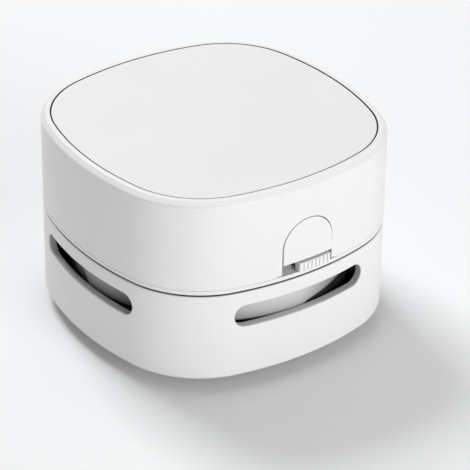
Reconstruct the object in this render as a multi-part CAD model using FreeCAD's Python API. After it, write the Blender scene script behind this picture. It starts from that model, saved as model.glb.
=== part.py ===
"""Desktop mini vacuum cleaner: a rounded-square body in two halves.

The lower half is the dust unit: shell with four air slots, round dust cup, inlet plate and brush ring.
The upper half is the motor unit: deck, battery bays, motor, fan shroud and filter, under a lift-off cover.
All sizes are in millimetres. +Z is up, the switch faces -Y, and z = 0 is the plane of the bristle tips.
"""

import FreeCAD, Part
import math
import os

os.makedirs("parts", exist_ok=True)
V = FreeCAD.Vector
UP = V(0, 0, 1)

# Whole body
body_width = 86.0
side_radius = 84.7
corner_radius = 26.8
stand_height = 4.0
parting_gap = 0.5
flange_thickness = 1.3
seam_gap = 0.1
cut_over = 5.0
face_gap = 0.05
near = 0.01

# Lower shell
lower_wall = 2.4
floor_thickness = 3.6
base_edge_round = 1.0
parting_edge_round = 0.35
tongue_rise = 0.3
tongue_wall = 1.1
slot_count = 4
slot_length = 41.6
slot_height = 6.6
slot_centre_drop = 7.45
slot_edge_round = 0.3

# Inlet plate, its screws and the brush
base_plate_border = 10.0
base_plate_thickness = 2.0
base_plate_clearance = 0.2
spigot_bore_radius = 7.6
spigot_wall = 1.0
spigot_clearance = 0.25
spigot_rise = 1.0
mouth_radius = 12.8
lip_wall = 1.5
lip_drop = 1.6
brush_screw_gap = 0.5
brush_carrier_width = 5.0
brush_groove_depth = 1.0
brush_groove_clearance = 0.2
brush_carrier_drop = 0.6
tuft_gap = 0.6
tuft_root_radius = 1.2
tuft_tip_radius = 1.65
base_screw_count = 4
base_screw_edge = 2.8
base_screw_tip_room = 1.1
screw_head_radius = 1.8
screw_head_height = 1.1
screw_head_clearance = 0.2
screw_recess_radius = 0.9
screw_recess_depth = 0.6
screw_shank_radius = 0.95
screw_pilot_clearance = 0.05
screw_passage_clearance = 0.2

# Dust cup
cup_clearance = 0.3
cup_wall = 1.4
cup_floor_thickness = 1.6
dust_depth = 5.35
cup_rim_round = 0.4
chimney_clearance = 0.3
chimney_wall = 1.2
chimney_top_gap = 1.55
cup_boss_radius = 2.7
cup_boss_top_gap = 0.95
boss_cap = 0.8

# Twist lock between cup and fan shroud
lock_count = 4
lock_ledge_depth = 1.1
lock_ledge_height = 1.6
lock_ledge_span = 18.0
lock_lug_reach = 1.2
lock_lug_height = 1.6
lock_lug_span = 14.0
lock_stop_span = 1.5
lock_stop_clearance = 0.4
lock_stop_drop = 2.0
lock_lift_gap = 0.3
lock_ledge_below_rim = 1.6
lock_twist = 20.0

# Exhaust foam blocks
foam_span = 30.0
foam_clearance = 0.3
foam_height = 16.5

# Fan shroud
shroud_running_gap = 1.5
shroud_wall = 1.4
shroud_floor_thickness = 1.4
shroud_inlet_radius = 12.0
shroud_lip_width = 0.9
shroud_lip_height = 0.5
shoulder_width = 2.2
shoulder_height = 1.2
shoulder_gap = 0.3
exhaust_window_span = 50.0
exhaust_window_height = 2.95
shroud_post_count = 3
shroud_post_start = 90.0
shroud_post_radius = 2.2
shroud_post_wall_gap = 0.6
shroud_screw_tip_room = 1.4
seal_height = 1.6
seal_lug_gap = 0.75
seal_wall_gap = 0.05
seal_cup_gap = 0.15

# Filter
filter_collar_gap = 0.2
filter_collar_wall = 1.0
filter_collar_height = 2.6
filter_frame_clearance = 0.1
filter_frame_wall = 1.2
filter_frame_height = 3.4
filter_spoke_count = 6
filter_spoke_width = 1.4
filter_spoke_height = 0.9
filter_hub_radius = 5.0
filter_pad_thickness = 2.2
filter_pad_clearance = 0.3

# Motor and its seat
motor_radius = 10.05
motor_flat_width = 15.1
motor_can_length = 20.6
motor_can_wall = 0.8
motor_cap_length = 4.5
motor_cap_inset = 0.4
motor_cap_hollow_radius = 5.4
motor_cap_hollow_height = 3.2
motor_boss_radius = 3.05
motor_boss_height = 1.5
motor_rear_boss_radius = 2.6
motor_rear_boss_height = 1.4
motor_shaft_radius = 1.0
motor_shaft_clearance = 0.05
motor_shaft_tip = 0.4
motor_shaft_rear = 0.5
motor_roof_gap = 0.65
motor_seat_depth = 3.1
motor_seat_thickness = 1.2
motor_pot_clearance = 0.3
motor_pot_wall = 1.4
motor_terminal_width = 2.2
motor_terminal_thickness = 0.4
motor_terminal_height = 2.6
motor_terminal_offset = 3.6
magnet_inner_radius = 6.6
magnet_gap = 0.1
magnet_height = 13.0
magnet_lift = 3.0
magnet_half_span = 50.0
armature_gap = 0.5
armature_height = 9.0
armature_rim = 1.2
armature_arm_width = 2.6
armature_hub_radius = 2.4
armature_slot_width = 1.4
pole_count = 3
winding_wall = 0.9
commutator_radius = 2.4
commutator_height = 3.6
damper_gap = 0.1
damper_thickness = 1.0
damper_height = 9.0
damper_lift = 0.6
sleeve_wall = 1.4
sleeve_height = 11.0
clip_thickness = 1.0
clip_width = 7.0
clip_post_width = 4.4
clip_post_gap = 0.6
clip_hole_clearance = 0.3
clip_screw_shank = 5.0

# Impeller
impeller_side_room = 7.0
impeller_plate_thickness = 1.0
impeller_floor_gap = 0.7
impeller_hub_radius = 4.2
impeller_blade_count = 9
impeller_blade_thickness = 1.0
impeller_blade_inner_radius = 9.0
impeller_blade_sweep = 55.0
impeller_blade_bow_share = 0.16
impeller_top_gap = 0.8

# Batteries and contacts; the cells are as long as the body's width leaves room for
battery_radius = 7.1
battery_nub_radius = 2.7
battery_nub_length = 1.0
battery_edge_round = 0.6
battery_clearance = 0.3
bay_wall = 1.2
bay_floor = 1.0
bay_end_wall = 1.6
bay_end_room = 11.45
bay_end_height = 12.6
bay_spring_space = 4.6
contact_thickness = 0.4
contact_width = 9.0
contact_inner_drop = 9.6
contact_outer_drop = 6.0
contact_gap = 0.1
bridge_height = 3.0
spring_wire_radius = 0.3
spring_radius = 2.9
spring_turns = 3
spring_end_gap = 0.15

# Shroud screw bosses and cover spigot on the deck
deck_boss_radius = 2.6
deck_boss_height = 4.2
cover_spigot_clearance = 0.25
cover_spigot_wall = 1.3
cover_spigot_height = 2.6

# Cover and its top panel
cover_wall = 2.0
cover_roof = 1.5
rim_bevel_width = 1.4
rim_bevel_drop = 1.2
rim_edge_round = 0.6
rim_crest_round = 0.4
panel_recess_inset = 2.5
panel_gap = 0.4
panel_thickness = 1.6
panel_edge_round = 0.25

# Switch pad, knob and slide switch
switch_x = 0.6
pad_opening_radius = 8.15
pad_gap = 0.3
pad_arch_height = 7.55
pad_bottom_height = 3.5
pad_lean = 0.35
pad_back_thickness = 1.5
pad_back_side = 3.0
pad_back_top = 2.0
pad_back_gap = 0.3
pad_rail_width = 2.6
pad_rail_depth = 3.4
pad_rail_height = 10.0
pad_rail_grip = 1.0
pad_rail_clearance = 0.1
relief_width = 1.2
relief_height = 0.3
knob_width = 10.2
knob_height = 2.7
knob_proud = 0.9
knob_foot_gap = 0.15
knob_end_gap = 1.1
knob_travel = 4.0
knob_depth = 2.2
knob_edge_round = 0.3
knob_rib_pitch = 1.3
knob_groove_count = 7
knob_groove_width = 0.45
knob_groove_depth = 0.35
stem_width = 3.0
stem_height = 1.2
stem_reach = 3.4
stem_clearance = 0.25
switch_case_width = 9.4
switch_case_depth = 3.5
switch_case_height = 3.3
switch_case_wall = 0.6
switch_leg_radius = 0.4
switch_leg_length = 3.6
switch_leg_pitch = 3.5
board_width = 16.0
board_height = 8.4
board_thickness = 1.0
board_gap = 0.1
board_rib_width = 1.6
board_rib_height = 6.0
board_rib_wall = 0.9
board_rib_clearance = 0.1

# Leads, whose routes are given as shares of the way from one end to the other
lead_radius = 0.6
lead_end_gap = 0.1
lead_drop = 3.75
lead_arc_share = 0.45
lead_positive_shares = [(0, 0.98, 0), (0.1, 1.94, 0.15), (0.39, 2.08, 0.55), (0.69, 0.85, 0.96)]
lead_negative_shares = [
    (0, -0.11, 0), (0.1, -0.21, 0.11), (0.38, -0.19, 0.4), (0.68, 0.03, 0.77), (0.93, 0.4, 0.97), (1, 0.7, 1)
]
lead_switch_shares = [(0, 0.22, 0), (0.9, 0.44, 0.38), (1, 0.61, 0.79), (1, 0.77, 1)]

# Levels, from the floor of the lower shell up to the top of the cover
shell_z = stand_height
floor_top_z = shell_z + floor_thickness
cup_floor_top_z = floor_top_z + cup_floor_thickness
filter_z = cup_floor_top_z + dust_depth
shroud_z = filter_z + filter_frame_height
seal_z = shroud_z + shroud_lip_height
lug_z = seal_z + seal_height + seal_lug_gap
lug_top_z = lug_z + lock_lug_height
ledge_z = lug_top_z + lock_lift_gap
ledge_top_z = ledge_z + lock_ledge_height
cup_rim_z = ledge_top_z + lock_ledge_below_rim
shoulder_z = cup_rim_z + shoulder_gap
shoulder_top_z = shoulder_z + shoulder_height
deck_z = shoulder_top_z + exhaust_window_height
shell_top_z = deck_z - parting_gap
slot_z = shell_top_z - slot_centre_drop
deck_top_z = deck_z + flange_thickness
cover_z = deck_top_z + seam_gap
motor_z = deck_z - motor_seat_depth
motor_can_top_z = motor_z + motor_can_length
motor_top_z = motor_can_top_z + motor_cap_length
shaft_top_z = motor_top_z + motor_rear_boss_height + motor_shaft_rear
cover_inner_z = shaft_top_z + motor_roof_gap
recess_floor_z = cover_inner_z + cover_roof
cover_top_z = recess_floor_z + panel_thickness

# Radii and reaches, from the body's width inwards
half_width = body_width / 2
screw_passage_radius = screw_shank_radius + screw_passage_clearance
screw_pilot_radius = screw_shank_radius + screw_pilot_clearance
screw_pocket_radius = screw_head_radius + screw_head_clearance
motor_bore_radius = motor_shaft_radius + motor_shaft_clearance

cup_radius = half_width - lower_wall - cup_clearance
cup_inner_radius = cup_radius - cup_wall
base_plate_radius = half_width - base_plate_border
base_screw_circle_radius = base_plate_radius - base_screw_edge
brush_groove_half = brush_carrier_width / 2 + brush_groove_clearance
brush_circle_radius = base_screw_circle_radius - screw_pocket_radius - brush_screw_gap - brush_groove_half
tuft_count = math.floor(2 * math.pi * brush_circle_radius / (2 * tuft_tip_radius + tuft_gap))
spigot_radius = spigot_bore_radius + spigot_wall
chimney_inner_radius = spigot_radius + chimney_clearance

shroud_radius = cup_inner_radius - shroud_running_gap
shroud_post_circle_radius = shroud_radius - shroud_wall - shroud_post_wall_gap - shroud_post_radius
filter_collar_radius = shroud_post_circle_radius - screw_pocket_radius - filter_collar_gap
impeller_radius = shroud_post_circle_radius - shroud_post_radius - impeller_side_room

sleeve_flat = motor_flat_width / 2 + damper_gap + damper_thickness + damper_gap
sleeve_round = motor_radius + damper_gap + damper_thickness + damper_gap

bay_half_length = half_width - cover_wall - bay_end_room - bay_end_wall
battery_length = 2 * (bay_half_length - contact_thickness - contact_gap) - bay_spring_space
battery_can_length = battery_length - battery_nub_length
battery_x = sleeve_flat + sleeve_wall + bay_wall + battery_clearance + battery_radius
battery_z = deck_top_z + bay_floor + battery_clearance + battery_radius
bay_half_width = battery_radius + battery_clearance + bay_wall
bay_end_top_z = deck_top_z + bay_end_height

pad_centre_z = cover_z + pad_arch_height
pad_bottom_z = deck_top_z + pad_bottom_height
knob_z = deck_top_z + knob_foot_gap
knob_x = switch_x + pad_opening_radius - knob_end_gap - knob_width / 2
switch_case_z = deck_top_z + face_gap
leg_z = switch_case_z + switch_case_height / 2
stem_z = leg_z - stem_height / 2


def side_geometry():
    """Centre distance of the side arcs, centre offset of the corner arcs and half the side arc's angle."""
    side_back = side_radius - half_width
    reach = side_radius - corner_radius
    corner_offset = (math.sqrt(2 * reach**2 - side_back**2) - side_back) / 2
    return side_back, corner_offset, math.atan2(corner_offset, corner_offset + side_back)


def polar(x, y, radius, angle, z):
    return V(x + radius * math.cos(angle), y + radius * math.sin(angle), z)


def outline(inset, z):
    """The rounded square at level z, drawn in from the outer wall by inset, as eight tangent arcs."""
    side_back, corner, half_angle = side_geometry()
    edges = []
    for quarter in range(4):
        turn = quarter * math.pi / 2
        side_x = -side_back * math.cos(turn)
        side_y = -side_back * math.sin(turn)
        radius = side_radius - inset
        ends = [polar(side_x, side_y, radius, turn + a, z) for a in (-half_angle, 0, half_angle)]
        edges.append(Part.Arc(*ends).toShape())
        corner_x = corner * (math.cos(turn) - math.sin(turn))
        corner_y = corner * (math.sin(turn) + math.cos(turn))
        middle = turn + math.pi / 4
        spread = math.pi / 4 - half_angle
        radius = corner_radius - inset
        ends = [polar(corner_x, corner_y, radius, middle + a, z) for a in (-spread, 0, spread)]
        edges.append(Part.Arc(*ends).toShape())
    return Part.Wire(edges)


def depth_below_wall(point):
    """How far a point lies inside the outer wall, measured square to it."""
    side_back, corner, half_angle = side_geometry()
    long, short = sorted((abs(point.x), abs(point.y)), reverse=True)
    if math.atan2(short, long + side_back) <= half_angle:
        return side_radius - math.hypot(long + side_back, short)
    return corner_radius - math.hypot(long - corner, short - corner)


def wall_y(x, inset):
    """The y of the front wall, drawn in by inset, at a given x on the front side arc."""
    side_back, _, _ = side_geometry()
    return side_back - math.sqrt((side_radius - inset) ** 2 - x**2)


def prism(inset, z0, z1):
    return Part.Face(outline(inset, z0)).extrude(V(0, 0, z1 - z0))


def frame_prism(outer_inset, inner_inset, z0, z1):
    return prism(outer_inset, z0, z1).cut(prism(inner_inset, z0 - cut_over, z1 + cut_over))


def disc(radius, z0, z1, x=0, y=0):
    return Part.makeCylinder(radius, z1 - z0, V(x, y, z0))


def tube(outer, inner, z0, z1, x=0, y=0):
    return disc(outer, z0, z1, x, y).cut(disc(inner, z0 - cut_over, z1 + cut_over, x, y))


def block(x0, x1, y0, y1, z0, z1):
    return Part.makeBox(x1 - x0, y1 - y0, z1 - z0, V(x0, y0, z0))


def turned(shape, degrees):
    copy = shape.copy()
    copy.rotate(V(0, 0, 0), UP, degrees)
    return copy


def around(shape, count, start=0):
    return [turned(shape, start + i * 360 / count) for i in range(count)]


def sector(outer, inner, z0, z1, middle, span):
    """A piece of ring between two radii and levels, centred on the angle middle, in degrees."""
    corners = [V(inner, 0, z0), V(outer, 0, z0), V(outer, 0, z1), V(inner, 0, z1), V(inner, 0, z0)]
    ring = Part.Face(Part.makePolygon(corners)).revolve(V(0, 0, 0), UP, span)
    return turned(ring, middle - span / 2)


def fuse_all(first, others):
    return first.multiFuse(list(others)).removeSplitter()


def cut_all(first, others):
    for other in others:
        first = first.cut(other)
    return first


def edge_middle(edge):
    return edge.valueAt((edge.FirstParameter + edge.LastParameter) / 2)


def edges_at(shape, z):
    """Edges that lie wholly at level z."""
    return [e for e in shape.Edges if abs(e.BoundBox.ZMin - z) < near and abs(e.BoundBox.ZMax - z) < near]


def pan_screw(x, y, seat_z, shank, upward=True):
    """A small screw with a domed head, cross recess and plain shank; its head rests on seat_z."""
    way = 1 if upward else -1
    top = seat_z - way * screw_head_height
    head = Part.makeCylinder(screw_head_radius, screw_head_height, V(x, y, seat_z), V(0, 0, -way))
    rim = [e for e in head.Edges if e.Closed and abs(edge_middle(e).z - top) < near]
    head = head.makeFillet(screw_head_height / 2, rim)
    shaft = Part.makeCylinder(screw_shank_radius, shank, V(x, y, seat_z), V(0, 0, way))
    arm = screw_recess_radius
    slit = arm / 3
    low, high = sorted((top - way * cut_over, top + way * screw_recess_depth))
    cross = block(x - arm, x + arm, y - slit, y + slit, low, high)
    cross = cross.fuse(block(x - slit, x + slit, y - arm, y + arm, low, high))
    return head.fuse(shaft).removeSplitter().cut(cross)


def circle_places(radius, count, start):
    steps = [math.radians(start + i * 360 / count) for i in range(count)]
    return [(radius * math.cos(a), radius * math.sin(a)) for a in steps]


def base_screw_places():
    return circle_places(base_screw_circle_radius, base_screw_count, 180 / base_screw_count)


def shroud_post_places():
    return circle_places(shroud_post_circle_radius, shroud_post_count, shroud_post_start)


def slot_cutter():
    """The front air slot as a long rounded bar through the front wall."""
    end = slot_height / 2
    run = slot_length / 2 - end
    z = slot_z
    top, bottom = z + end, z - end
    edges = [
        Part.LineSegment(V(-run, 0, bottom), V(run, 0, bottom)).toShape(),
        Part.Arc(V(run, 0, bottom), V(run + end, 0, z), V(run, 0, top)).toShape(),
        Part.LineSegment(V(run, 0, top), V(-run, 0, top)).toShape(),
        Part.Arc(V(-run, 0, top), V(-run - end, 0, z), V(-run, 0, bottom)).toShape(),
    ]
    return Part.Face(Part.Wire(edges)).extrude(V(0, -half_width - cut_over, 0))


def lower_shell():
    body = prism(0, shell_z, shell_top_z)
    body = body.makeFillet(base_edge_round, edges_at(body, shell_z))
    body = body.makeFillet(parting_edge_round, edges_at(body, shell_top_z))
    body = body.cut(prism(lower_wall, floor_top_z, shell_top_z + cut_over))
    tongue = frame_prism(
        lower_wall - tongue_wall, lower_wall, shell_top_z - tongue_rise, shell_top_z + tongue_rise
    )
    body = body.fuse(tongue).removeSplitter()
    body = cut_all(body, around(slot_cutter(), slot_count))
    lips = []
    for edge in body.Edges:
        middle = edge_middle(edge)
        beside = abs(middle.z - slot_z) < slot_height / 2 + face_gap
        tall = edge.BoundBox.ZLength > slot_height + face_gap
        if beside and not tall and abs(depth_below_wall(middle)) < near:
            lips.append(edge)
    body = body.makeFillet(slot_edge_round, lips)
    plate_top_z = shell_z + base_plate_thickness
    body = body.cut(disc(base_plate_radius + base_plate_clearance, shell_z - cut_over, plate_top_z))
    body = body.cut(disc(spigot_radius + spigot_clearance, shell_z, floor_top_z + cut_over))
    for x, y in base_screw_places():
        body = body.cut(disc(screw_passage_radius, shell_z, floor_top_z + cut_over, x, y))
    return body


def base_plate():
    plate = disc(base_plate_radius, shell_z, shell_z + base_plate_thickness)
    lip = tube(mouth_radius + lip_wall, mouth_radius, shell_z - lip_drop, shell_z + base_plate_thickness / 2)
    spigot_top = cup_floor_top_z + spigot_rise
    spigot = disc(spigot_radius, shell_z, spigot_top)
    plate = fuse_all(plate, [lip, spigot])
    funnel = Part.makeCone(mouth_radius, spigot_bore_radius, base_plate_thickness, V(0, 0, shell_z))
    mouth = disc(mouth_radius, shell_z - cut_over, shell_z)
    bore = disc(spigot_bore_radius, shell_z, spigot_top + cut_over)
    plate = plate.cut(funnel).cut(mouth).cut(bore)
    groove = tube(
        brush_circle_radius + brush_groove_half,
        brush_circle_radius - brush_groove_half,
        shell_z - cut_over,
        shell_z + brush_groove_depth,
    )
    plate = plate.cut(groove)
    seat = shell_z + screw_head_height
    for x, y in base_screw_places():
        plate = plate.cut(disc(screw_pocket_radius, shell_z - cut_over, seat, x, y))
        plate = plate.cut(disc(screw_passage_radius, shell_z, seat + cut_over, x, y))
    return plate


def cup_boss_top():
    return filter_z - cup_boss_top_gap


def base_screws():
    seat = shell_z + screw_head_height
    shank = cup_boss_top() - boss_cap - base_screw_tip_room - seat
    return Part.makeCompound([pan_screw(x, y, seat, shank) for x, y in base_screw_places()])


def brush_carrier():
    half = brush_carrier_width / 2
    return tube(
        brush_circle_radius + half,
        brush_circle_radius - half,
        shell_z - brush_carrier_drop,
        shell_z + brush_groove_depth,
    )


def brush_bristles():
    """A ring of separate bristle tufts under the carrier, each spread towards its tip."""
    root_z = shell_z - brush_carrier_drop
    tuft = Part.makeCone(tuft_tip_radius, tuft_root_radius, root_z, V(brush_circle_radius, 0, 0))
    return Part.makeCompound(around(tuft, tuft_count))


def dust_cup():
    body = tube(cup_radius, cup_inner_radius, floor_top_z, cup_rim_z)
    body = body.makeFillet(cup_rim_round, edges_at(body, cup_rim_z))
    floor = disc(cup_radius, floor_top_z, cup_floor_top_z)
    chimney = disc(chimney_inner_radius + chimney_wall, floor_top_z, filter_z - chimney_top_gap)
    boss_top_z = cup_boss_top()
    bosses = [disc(cup_boss_radius, floor_top_z, boss_top_z, x, y) for x, y in base_screw_places()]
    overlap = cup_wall / 2
    ledge_inner = cup_inner_radius - lock_ledge_depth
    ledge = sector(cup_inner_radius + overlap, ledge_inner, ledge_z, ledge_top_z, 0, lock_ledge_span)
    stop_z = ledge_z - lock_stop_drop
    shut = -(lock_lug_span + lock_stop_span) / 2 - lock_stop_clearance
    opened = lock_twist + (lock_lug_span + lock_stop_span) / 2 + lock_stop_clearance
    stops = [
        sector(cup_inner_radius + overlap, ledge_inner, stop_z, ledge_z, angle, lock_stop_span)
        for angle in (shut, opened)
    ]
    lock = fuse_all(ledge, stops[:1]).multiFuse(stops[1:])
    step = 360 / lock_count
    body = fuse_all(body, [floor, chimney, *bosses, *around(lock, lock_count, step / 2)])
    body = body.cut(disc(chimney_inner_radius, floor_top_z - cut_over, cup_rim_z))
    for x, y in base_screw_places():
        body = body.cut(disc(screw_pilot_radius, floor_top_z - cut_over, boss_top_z - boss_cap, x, y))
    return body


def exhaust_foam():
    """Four foam blocks between the round cup and the corners of the shell."""
    z1 = floor_top_z + foam_height
    ring = prism(lower_wall + foam_clearance, floor_top_z, z1).cut(
        disc(cup_radius + foam_clearance, floor_top_z - cut_over, z1 + cut_over)
    )
    step = 360 / slot_count
    wedge = sector(body_width, cup_radius, floor_top_z, z1, step / 2, foam_span)
    return Part.makeCompound([ring.common(w) for w in around(wedge, slot_count)])


def fan_shroud():
    wall = tube(shroud_radius, shroud_radius - shroud_wall, shroud_z, deck_z)
    floor = disc(shroud_radius, shroud_z, shroud_z + shroud_floor_thickness)
    lip = disc(shroud_radius + shroud_lip_width, shroud_z, shroud_z + shroud_lip_height)
    root = shroud_radius - shroud_wall / 2
    shoulder = tube(shroud_radius + shoulder_width, root, shoulder_z, shoulder_top_z)
    lug = sector(shroud_radius + lock_lug_reach, root, lug_z, lug_top_z, 0, lock_lug_span)
    lugs = around(lug, lock_count, 180 / lock_count)
    posts = [disc(shroud_post_radius, shroud_z, deck_z, x, y) for x, y in shroud_post_places()]
    collar_inner = filter_collar_radius - filter_collar_wall
    collar = tube(filter_collar_radius, collar_inner, shroud_z - filter_collar_height, shroud_z)
    outer, inner = shroud_radius + shroud_wall, shroud_radius - 2 * shroud_wall
    window = sector(outer, inner, shoulder_top_z, deck_z + cut_over, 0, exhaust_window_span)
    wall = cut_all(wall, around(window, slot_count, 180 / slot_count))
    body = fuse_all(wall, [floor, lip, shoulder, *lugs, *posts, collar])
    body = body.cut(disc(shroud_inlet_radius, shroud_z - cut_over, shroud_z + shroud_floor_thickness))
    for x, y in shroud_post_places():
        body = body.cut(disc(screw_passage_radius, shroud_z - cut_over, deck_z + cut_over, x, y))
        body = body.cut(disc(screw_pocket_radius, shroud_z - cut_over, shroud_z + screw_head_height, x, y))
    return body


def deck_boss_top():
    return deck_top_z + deck_boss_height


def shroud_screws():
    seat = shroud_z + screw_head_height
    shank = deck_boss_top() - boss_cap - shroud_screw_tip_room - seat
    return Part.makeCompound([pan_screw(x, y, seat, shank) for x, y in shroud_post_places()])


def cup_seal():
    return tube(cup_inner_radius - seal_cup_gap, shroud_radius + seal_wall_gap, seal_z, seal_z + seal_height)


def filter_frame():
    radius = filter_collar_radius - filter_collar_wall - filter_frame_clearance
    spoke_top = filter_z + filter_spoke_height
    ring = tube(radius, radius - filter_frame_wall, filter_z, shroud_z)
    hub = disc(filter_hub_radius, filter_z, spoke_top)
    half = filter_spoke_width / 2
    spoke = block(0, radius - filter_frame_wall / 2, -half, half, filter_z, spoke_top)
    return fuse_all(ring, [hub, *around(spoke, filter_spoke_count)])


def filter_pad():
    radius = filter_collar_radius - filter_collar_wall - filter_frame_clearance - filter_frame_wall
    z0 = filter_z + filter_spoke_height
    return disc(radius - filter_pad_clearance, z0, z0 + filter_pad_thickness)


def motor_section(grow, z0, z1):
    """The motor's round section with two flats, grown all round by grow."""
    flat = motor_flat_width / 2 + grow
    radius = motor_radius + grow
    return disc(radius, z0, z1).common(block(-flat, flat, -radius, radius, z0, z1))


def motor_can():
    can = motor_section(0, motor_z, motor_can_top_z)
    boss = disc(motor_boss_radius, motor_z - motor_boss_height, motor_z)
    can = can.fuse(boss).removeSplitter()
    can = can.cut(motor_section(-motor_can_wall, motor_z + motor_can_wall, motor_can_top_z + cut_over))
    return can.cut(disc(motor_bore_radius, motor_z - cut_over, motor_can_top_z + cut_over))


def motor_end_cap():
    cap = motor_section(-motor_cap_inset, motor_can_top_z, motor_top_z)
    boss = disc(motor_rear_boss_radius, motor_top_z, motor_top_z + motor_rear_boss_height)
    cap = cap.fuse(boss).removeSplitter()
    hollow_top_z = motor_can_top_z + motor_cap_hollow_height
    cap = cap.cut(disc(motor_cap_hollow_radius, motor_can_top_z - cut_over, hollow_top_z))
    return cap.cut(disc(motor_bore_radius, motor_can_top_z - cut_over, cover_top_z))


def terminal_y():
    radius = motor_radius - motor_cap_inset
    return -math.sqrt(radius**2 - (motor_terminal_offset - motor_terminal_width / 2) ** 2)


def motor_terminals():
    """Two solder tabs at the front of the motor's end cap."""
    y1 = terminal_y()
    z0 = motor_can_top_z + (motor_cap_length - motor_terminal_height) / 2
    tabs = []
    for side in (-1, 1):
        x = side * motor_terminal_offset
        half = motor_terminal_width / 2
        y0 = y1 - motor_terminal_thickness
        tabs.append(block(x - half, x + half, y0, y1, z0, z0 + motor_terminal_height))
    return Part.makeCompound(tabs)


def motor_magnets():
    """The two curved magnets on the round sides of the can."""
    z0 = motor_z + motor_can_wall + magnet_lift
    inner = magnet_inner_radius
    room = motor_section(-motor_can_wall - magnet_gap, z0, z0 + magnet_height)
    span = magnet_half_span * 2
    arcs = [sector(motor_radius, inner, z0, z0 + magnet_height, angle, span) for angle in (-90, 90)]
    return Part.makeCompound([room.common(arc) for arc in arcs])


def armature_z():
    return motor_z + motor_can_wall + magnet_lift + (magnet_height - armature_height) / 2


def motor_armature():
    """The three-pole steel stack on the shaft."""
    z0 = armature_z()
    z1 = z0 + armature_height
    radius = magnet_inner_radius - armature_gap
    half = armature_arm_width / 2
    arm = block(0, radius - armature_rim / 2, -half, half, z0, z1)
    slot_half = armature_slot_width / 2
    slot = block(0, radius + cut_over, -slot_half, slot_half, z0, z1)
    rim = cut_all(tube(radius, radius - armature_rim, z0, z1), around(slot, pole_count, 180 / pole_count))
    body = fuse_all(disc(armature_hub_radius, z0, z1), [rim, *around(arm, pole_count)])
    return body.cut(disc(motor_shaft_radius, z0 - cut_over, z1 + cut_over))


def armature_windings():
    """The copper windings, one round each arm of the stack."""
    z0 = armature_z() - winding_wall
    z1 = z0 + armature_height + 2 * winding_wall
    outer = magnet_inner_radius - armature_gap - armature_rim
    half = armature_arm_width / 2 + winding_wall
    bundle = block(armature_hub_radius, outer, -half, half, z0, z1).common(disc(outer, z0, z1))
    bundle = bundle.cut(disc(armature_hub_radius, z0, z1))
    arm_half = armature_arm_width / 2
    bundle = bundle.cut(block(0, outer, -arm_half, arm_half, z0 + winding_wall, z1 - winding_wall))
    return Part.makeCompound(around(bundle, pole_count))


def commutator():
    z0 = motor_can_top_z - commutator_height / 2
    return tube(commutator_radius, motor_shaft_radius, z0, z0 + commutator_height)


def motor_damper():
    z0 = deck_top_z + damper_lift
    outer = motor_section(damper_gap + damper_thickness, z0, z0 + damper_height)
    return outer.cut(motor_section(damper_gap, z0 - cut_over, z0 + damper_height + cut_over))


def clip_post_y():
    return sleeve_round + sleeve_wall + clip_post_width / 2 - clip_post_gap


def motor_clip():
    """The strap over the motor's end, screwed to a post on each side."""
    y = clip_post_y() + clip_post_width / 2
    strap = block(-clip_width / 2, clip_width / 2, -y, y, motor_top_z, motor_top_z + clip_thickness)
    corners = [e for e in strap.Edges if e.BoundBox.ZLength > clip_thickness / 2]
    strap = strap.makeFillet(clip_width / 4, corners)
    strap = strap.cut(disc(motor_rear_boss_radius + clip_hole_clearance, motor_top_z - cut_over, cover_top_z))
    for side in (-1, 1):
        hole_y = side * clip_post_y()
        strap = strap.cut(disc(screw_passage_radius, motor_top_z - cut_over, cover_top_z, 0, hole_y))
    return strap


def clip_screws():
    seat = motor_top_z + clip_thickness
    screws = [pan_screw(0, side * clip_post_y(), seat, clip_screw_shank, upward=False) for side in (-1, 1)]
    return Part.makeCompound(screws)


def impeller_bottom():
    return shroud_z + shroud_floor_thickness + impeller_floor_gap


def motor_shaft():
    return disc(motor_shaft_radius, impeller_bottom() - motor_shaft_tip, shaft_top_z)


def impeller():
    """A closed-back centrifugal fan with swept blades under its plate."""
    top = motor_z - motor_seat_thickness - impeller_top_gap
    bottom = impeller_bottom()
    plate = disc(impeller_radius, top - impeller_plate_thickness, top)
    hub = disc(impeller_hub_radius, bottom, top)
    start = V(impeller_blade_inner_radius, 0, bottom)
    tip_radius = impeller_radius - impeller_blade_thickness / 2
    tip = polar(0, 0, tip_radius, math.radians(impeller_blade_sweep), bottom)
    chord = tip.sub(start)
    square = V(chord.y, -chord.x, 0).normalize()
    bow = chord.Length * impeller_blade_bow_share
    middle = start.add(chord.multiply(1 / 2)).add(square.multiply(bow))
    line = Part.Arc(start, middle, tip).toShape()
    centre = V(line.Curve.Center)
    sides = []
    for grow in (-impeller_blade_thickness / 2, impeller_blade_thickness / 2):
        ratio = (line.Curve.Radius + grow) / line.Curve.Radius
        sides.append([centre.add(point.sub(centre).multiply(ratio)) for point in (start, middle, tip)])
    inner, outer = sides
    edges = [
        Part.Arc(*inner).toShape(),
        Part.LineSegment(inner[2], outer[2]).toShape(),
        Part.Arc(outer[2], outer[1], outer[0]).toShape(),
        Part.LineSegment(outer[0], inner[0]).toShape(),
    ]
    vane = Part.Face(Part.Wire(edges)).extrude(V(0, 0, top - bottom))
    body = fuse_all(plate, [hub, *around(vane, impeller_blade_count)])
    return body.cut(disc(motor_shaft_radius + face_gap, bottom - cut_over, top + cut_over))


def bay(side):
    """One battery trough, still solid, and its two end walls, left (-1) or right (+1) of the motor."""
    x = side * battery_x
    x0, x1 = x - bay_half_width, x + bay_half_width
    end = bay_half_length + bay_end_wall
    trough = block(x0, x1, -end, end, deck_top_z, battery_z)
    ends = [
        block(x0, x1, *sorted((s * bay_half_length, s * end)), deck_top_z, bay_end_top_z) for s in (-1, 1)
    ]
    return [trough, *ends]


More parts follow.
